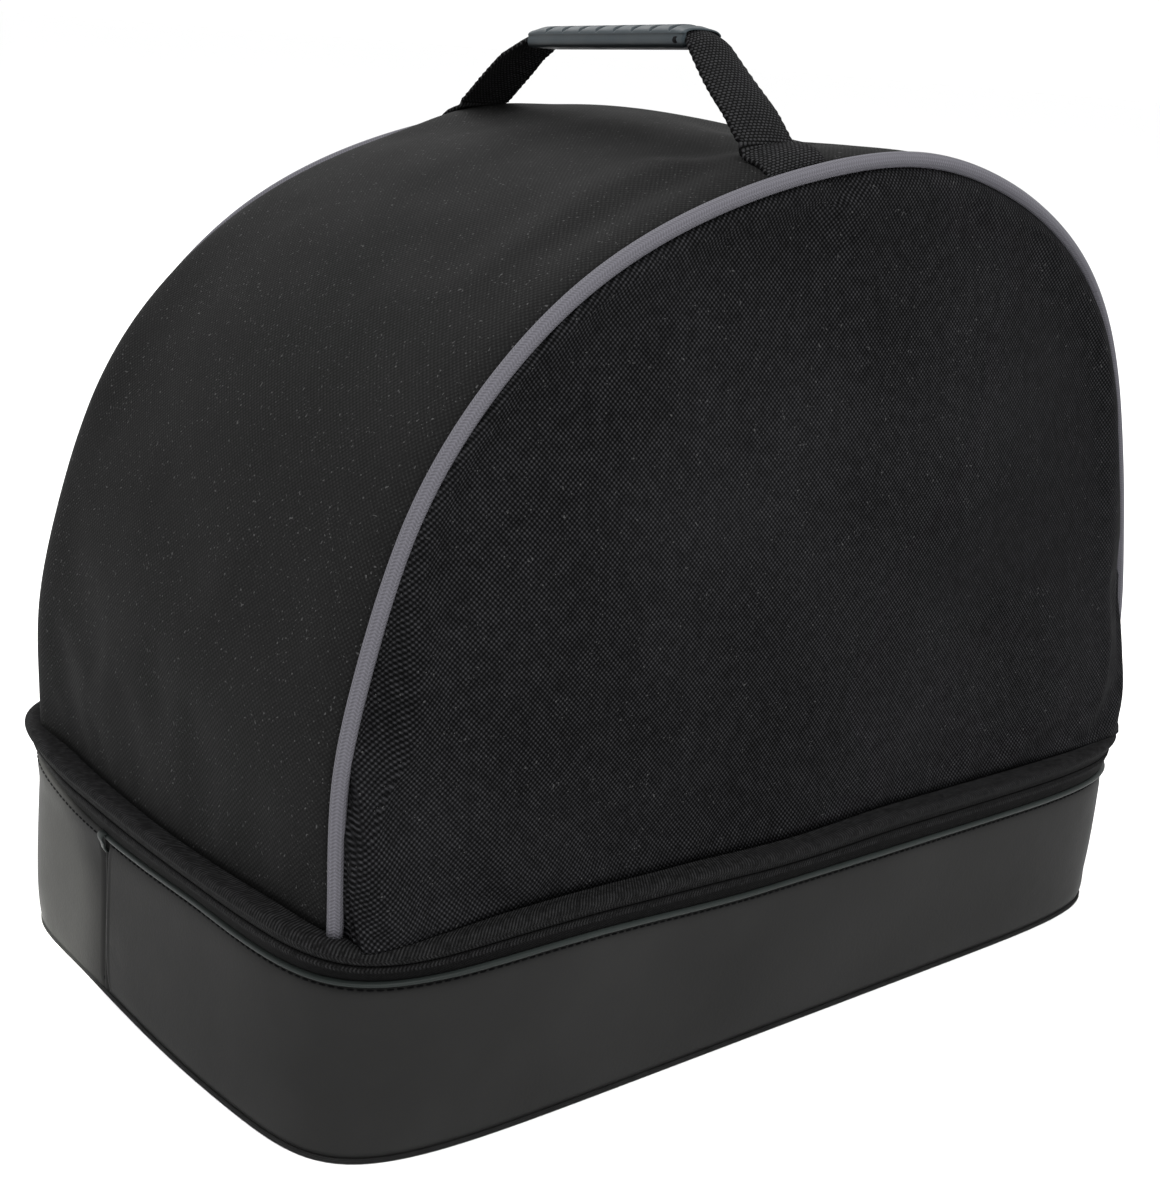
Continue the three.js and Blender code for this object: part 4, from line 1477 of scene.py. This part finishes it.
def welt_stitches():
    """The row of stitches that holds the wall's turned edge, right under it."""
    around = outline_angles(2, 0, TURN, closed=False)[1][-1]
    count = int(around / WELT_STITCH_PITCH)
    angles, _ = outline_angles(count)
    front_skin, back_skin = skin_of(front_wall), skin_of(back_wall)
    places, outs = [], []
    for i in range(count):
        a, b = angles[i], angles[(i + 1) % count]
        if b < a:
            b += TURN
        behind = outline_point(a, 0, 0, 0).y > SEAM_DEPTH
        skin = back_skin if behind else front_skin
        z = BACK_WALL_TOP - 2.4 if behind else BASE_HEIGHT - 0.9
        p, out = on_wall(skin, a, z)
        q, _ = on_wall(skin, a + (b - a) * 0.8, z)
        places.append((p, q))
        outs.append(out)
    stitch_line("welt_stitches", places, outs, WELT_STITCH_RADIUS)


def seam_stitches(name, direction, step):
    """Stitches beside a wall's seam, on the back length of leathercloth."""
    angle = direction + step * SEAM_STITCH_SETBACK / HALF_WIDTH
    skin = skin_of(back_wall)
    places, outs = [], []
    count = int((BASE_HEIGHT - WALL_FOOT - 6) / SEAM_STITCH_PITCH)
    for k in range(count):
        z = WALL_FOOT + 3 + k * SEAM_STITCH_PITCH
        p, out = on_wall(skin, angle, z)
        q, _ = on_wall(skin, angle, z + 0.74 * SEAM_STITCH_PITCH)
        places.append((p, q))
        outs.append(out)
    stitch_line(name, places, outs, SEAM_STITCH_RADIUS)


def make_join(name, direction, step):
    """The welt's end, folded over itself in a small loop at a wall's seam."""
    angle = direction + step * JOIN_SETBACK / HALF_WIDTH
    centres = [outline_point(angle, out, out, BASE_HEIGHT + up) for out, up in WELT_LOOP]
    side = Vector((0, 1, 0))
    last = len(centres) - 1
    frames = []
    for i in range(last + 1):
        along = (centres[min(i + 1, last)] - centres[max(i - 1, 0)]).normalized()
        frames.append((along.cross(side), side))
    join = Rods()
    join.add(centres, frames, [(0.5, 1.0 + 0.2 * i) for i in range(last + 1)], 14, 0.7)
    dress(join.make(name), WELT_LEATHER)


welt_stitches()
seam_stitches("seam_stitches_left", left_seam, -1)
seam_stitches("seam_stitches_right", right_seam, 1)
make_join("welt_join_left", left_seam, -1)
make_join("welt_join_right", right_seam, 1)


# The rim isn't quite level: it rises toward the hinge and hangs a little along both sides

WALL_RISE_AT_BACK = 7.0
WALL_RISE_AT_FRONT = 3.3
WALL_SAG = 1.5
CREASE_RISE_AT_BACK = 4.5
CREASE_SAG = 1.8
CREASE_SAG_AT_CORNER = 4.0
CREASE_SAG_AT_FRONT = 1.3
CREASE_DIP_AT_FRONT = 2.0
FOOT_BULGE = 2.5
FOOT_TUCK = 0.8
TOP_TUCK = 1.8
RIGHT_INSET = 1.3
RIGHT_FLARE = 3.5
RIM_LEVEL = 66


def at_side(x):
    """0 over the middle of the bag, 1 at its left and right ends."""
    return smooth_step((abs(x) - 150) / 50)


def at_front(y):
    return smooth_step((-y - 100) / 30)


def at_back(y):
    return smooth_step((y - 50) / 75)


def wall_top_shift(x, y):
    """How much higher than level the wall's top edge runs."""
    rise = WALL_RISE_AT_BACK * at_back(y) + WALL_RISE_AT_FRONT * at_front(y) * bump_at(x, -125, 95)
    return rise - WALL_SAG * at_side(x) * bump_at(y, 10, 60)


def crease_shift(x, y):
    """How much higher than level the crease below the dome runs."""
    rise = CREASE_RISE_AT_BACK * at_back(y)
    sag = CREASE_SAG * at_side(x) * bump_at(y, -20, 100)
    sag += CREASE_SAG_AT_CORNER * bump_at(x, -215, 70) * bump_at(y, -132, 60)
    wave = CREASE_SAG_AT_FRONT * (1 - bump_at(x, -125, 60)) + CREASE_DIP_AT_FRONT * bump_at(x, -15, 60)
    return rise - sag - at_front(y) * wave


def settle(piece):
    """Moves a piece's points to where the uneven rim and foot have them."""
    for vertex in piece.data.vertices:
        x, y, z = (c / MM for c in vertex.co)
        above_rim = smooth_step((z - RIM_LEVEL) / 18)
        near_wall_top = smooth_step(z / 60) * (1 - above_rim)
        near_crease = above_rim * (1 - smooth_step((z - 86) / 50))
        on_base = 1 - smooth_step((z - RIM_LEVEL) / 16)
        if x > 0:
            bulge = RIGHT_FLARE * (1 - smooth_step(z / 18)) - RIGHT_INSET * on_base
        else:
            tuck = FOOT_TUCK + (TOP_TUCK - FOOT_TUCK) * min(1.0, z / RIM_LEVEL)
            bulge = FOOT_BULGE * bump_at(y, -25, 90) * (1 - smooth_step(z / 55))
            bulge -= tuck * smooth_step((y - 20) / 65) * on_base
        shift_x = bulge * at_side(x) * math.copysign(1, x)
        shift_z = near_wall_top * wall_top_shift(x, y) + near_crease * crease_shift(x, y)
        vertex.co.x += shift_x * MM
        vertex.co.z += shift_z * MM
    piece.data.update()


for piece in PIECES:
    settle(piece)


# Floor, light and camera

def make_floor():
    half = 60.0
    corners = [(-half, -half, 0), (half, -half, 0), (half, half, 0), (-half, half, 0)]
    mesh = bpy.data.meshes.new("studio_floor")
    mesh.from_pydata(corners, [], [(0, 1, 2, 3)])
    floor = bpy.data.objects.new("studio_floor", mesh)
    bpy.context.scene.collection.objects.link(floor)
    f = Finish("studio_floor")
    f.finish(Base_Color=(0.97, 0.97, 0.97), Roughness=0.9)
    mesh.materials.append(f.material)


def lamp(name, kind, place, target, power, colour=(1, 1, 1)):
    data = bpy.data.lights.new(name, kind)
    data.energy = power
    data.color = colour
    holder = bpy.data.objects.new(name, data)
    holder.location = place
    holder.rotation_mode = "QUATERNION"
    holder.rotation_quaternion = (Vector(target) - Vector(place)).to_track_quat("-Z", "Y")
    bpy.context.scene.collection.objects.link(holder)
    return data


def area_light(name, place, target, size, power):
    data = lamp(name, "AREA", place, target, power)
    data.shape = "RECTANGLE"
    data.size, data.size_y = size


make_floor()
area_light("key", (-0.6, -1.0, 3.0), (0, 0, 0.2), (1.8, 1.8), 100)
area_light("left_side", (-1.6, 2.2, 0.5), (-0.2, 0, 0.06), (1.0, 0.8), 6)
area_light("right_fill", (2.2, -1.4, 1.2), (0, 0, 0.15), (1.6, 1.6), 1.5)
area_light("back_rim", (0.4, 2.4, 2.4), (0, 0, 0.3), (2.0, 1.2), 34)
beam = lamp("corner_beam", "SPOT", (-1.3, 0.9, 0.45), (-0.215, 0.096, 0.035), 300, (1.0, 1.0, 0.93))
beam.spot_size = math.radians(4.0)
beam.spot_blend = 0.3
beam.shadow_soft_size = 0.01

world = bpy.data.worlds.new("studio")
bpy.context.scene.world = world
world.use_nodes = True
world.node_tree.nodes["Background"].inputs[0].default_value = (1, 1, 1, 1)
world.node_tree.nodes["Background"].inputs[1].default_value = 1.03

camera_data = bpy.data.cameras.new("camera")
camera_data.sensor_width = SENSOR
camera_data.lens = CAMERA_FOCAL_PIXELS / IMAGE_LONG_SIDE * SENSOR
camera_data.clip_start = 0.01
camera = bpy.data.objects.new("camera", camera_data)
right = CAMERA_FORWARD.cross(Vector((0, 0, 1))).normalized()
up = right.cross(CAMERA_FORWARD).normalized()
cos_roll, sin_roll = math.cos(CAMERA_ROLL), math.sin(CAMERA_ROLL)
rolled_right = right * cos_roll + up * sin_roll
rolled_up = up * cos_roll - right * sin_roll
camera.matrix_world = Matrix((
    (rolled_right.x, rolled_up.x, -CAMERA_FORWARD.x, CAMERA_PLACE.x),
    (rolled_right.y, rolled_up.y, -CAMERA_FORWARD.y, CAMERA_PLACE.y),
    (rolled_right.z, rolled_up.z, -CAMERA_FORWARD.z, CAMERA_PLACE.z),
    (0, 0, 0, 1),
))
bpy.context.scene.collection.objects.link(camera)
bpy.context.scene.camera = camera
bpy.context.scene.view_settings.view_transform = "Standard"
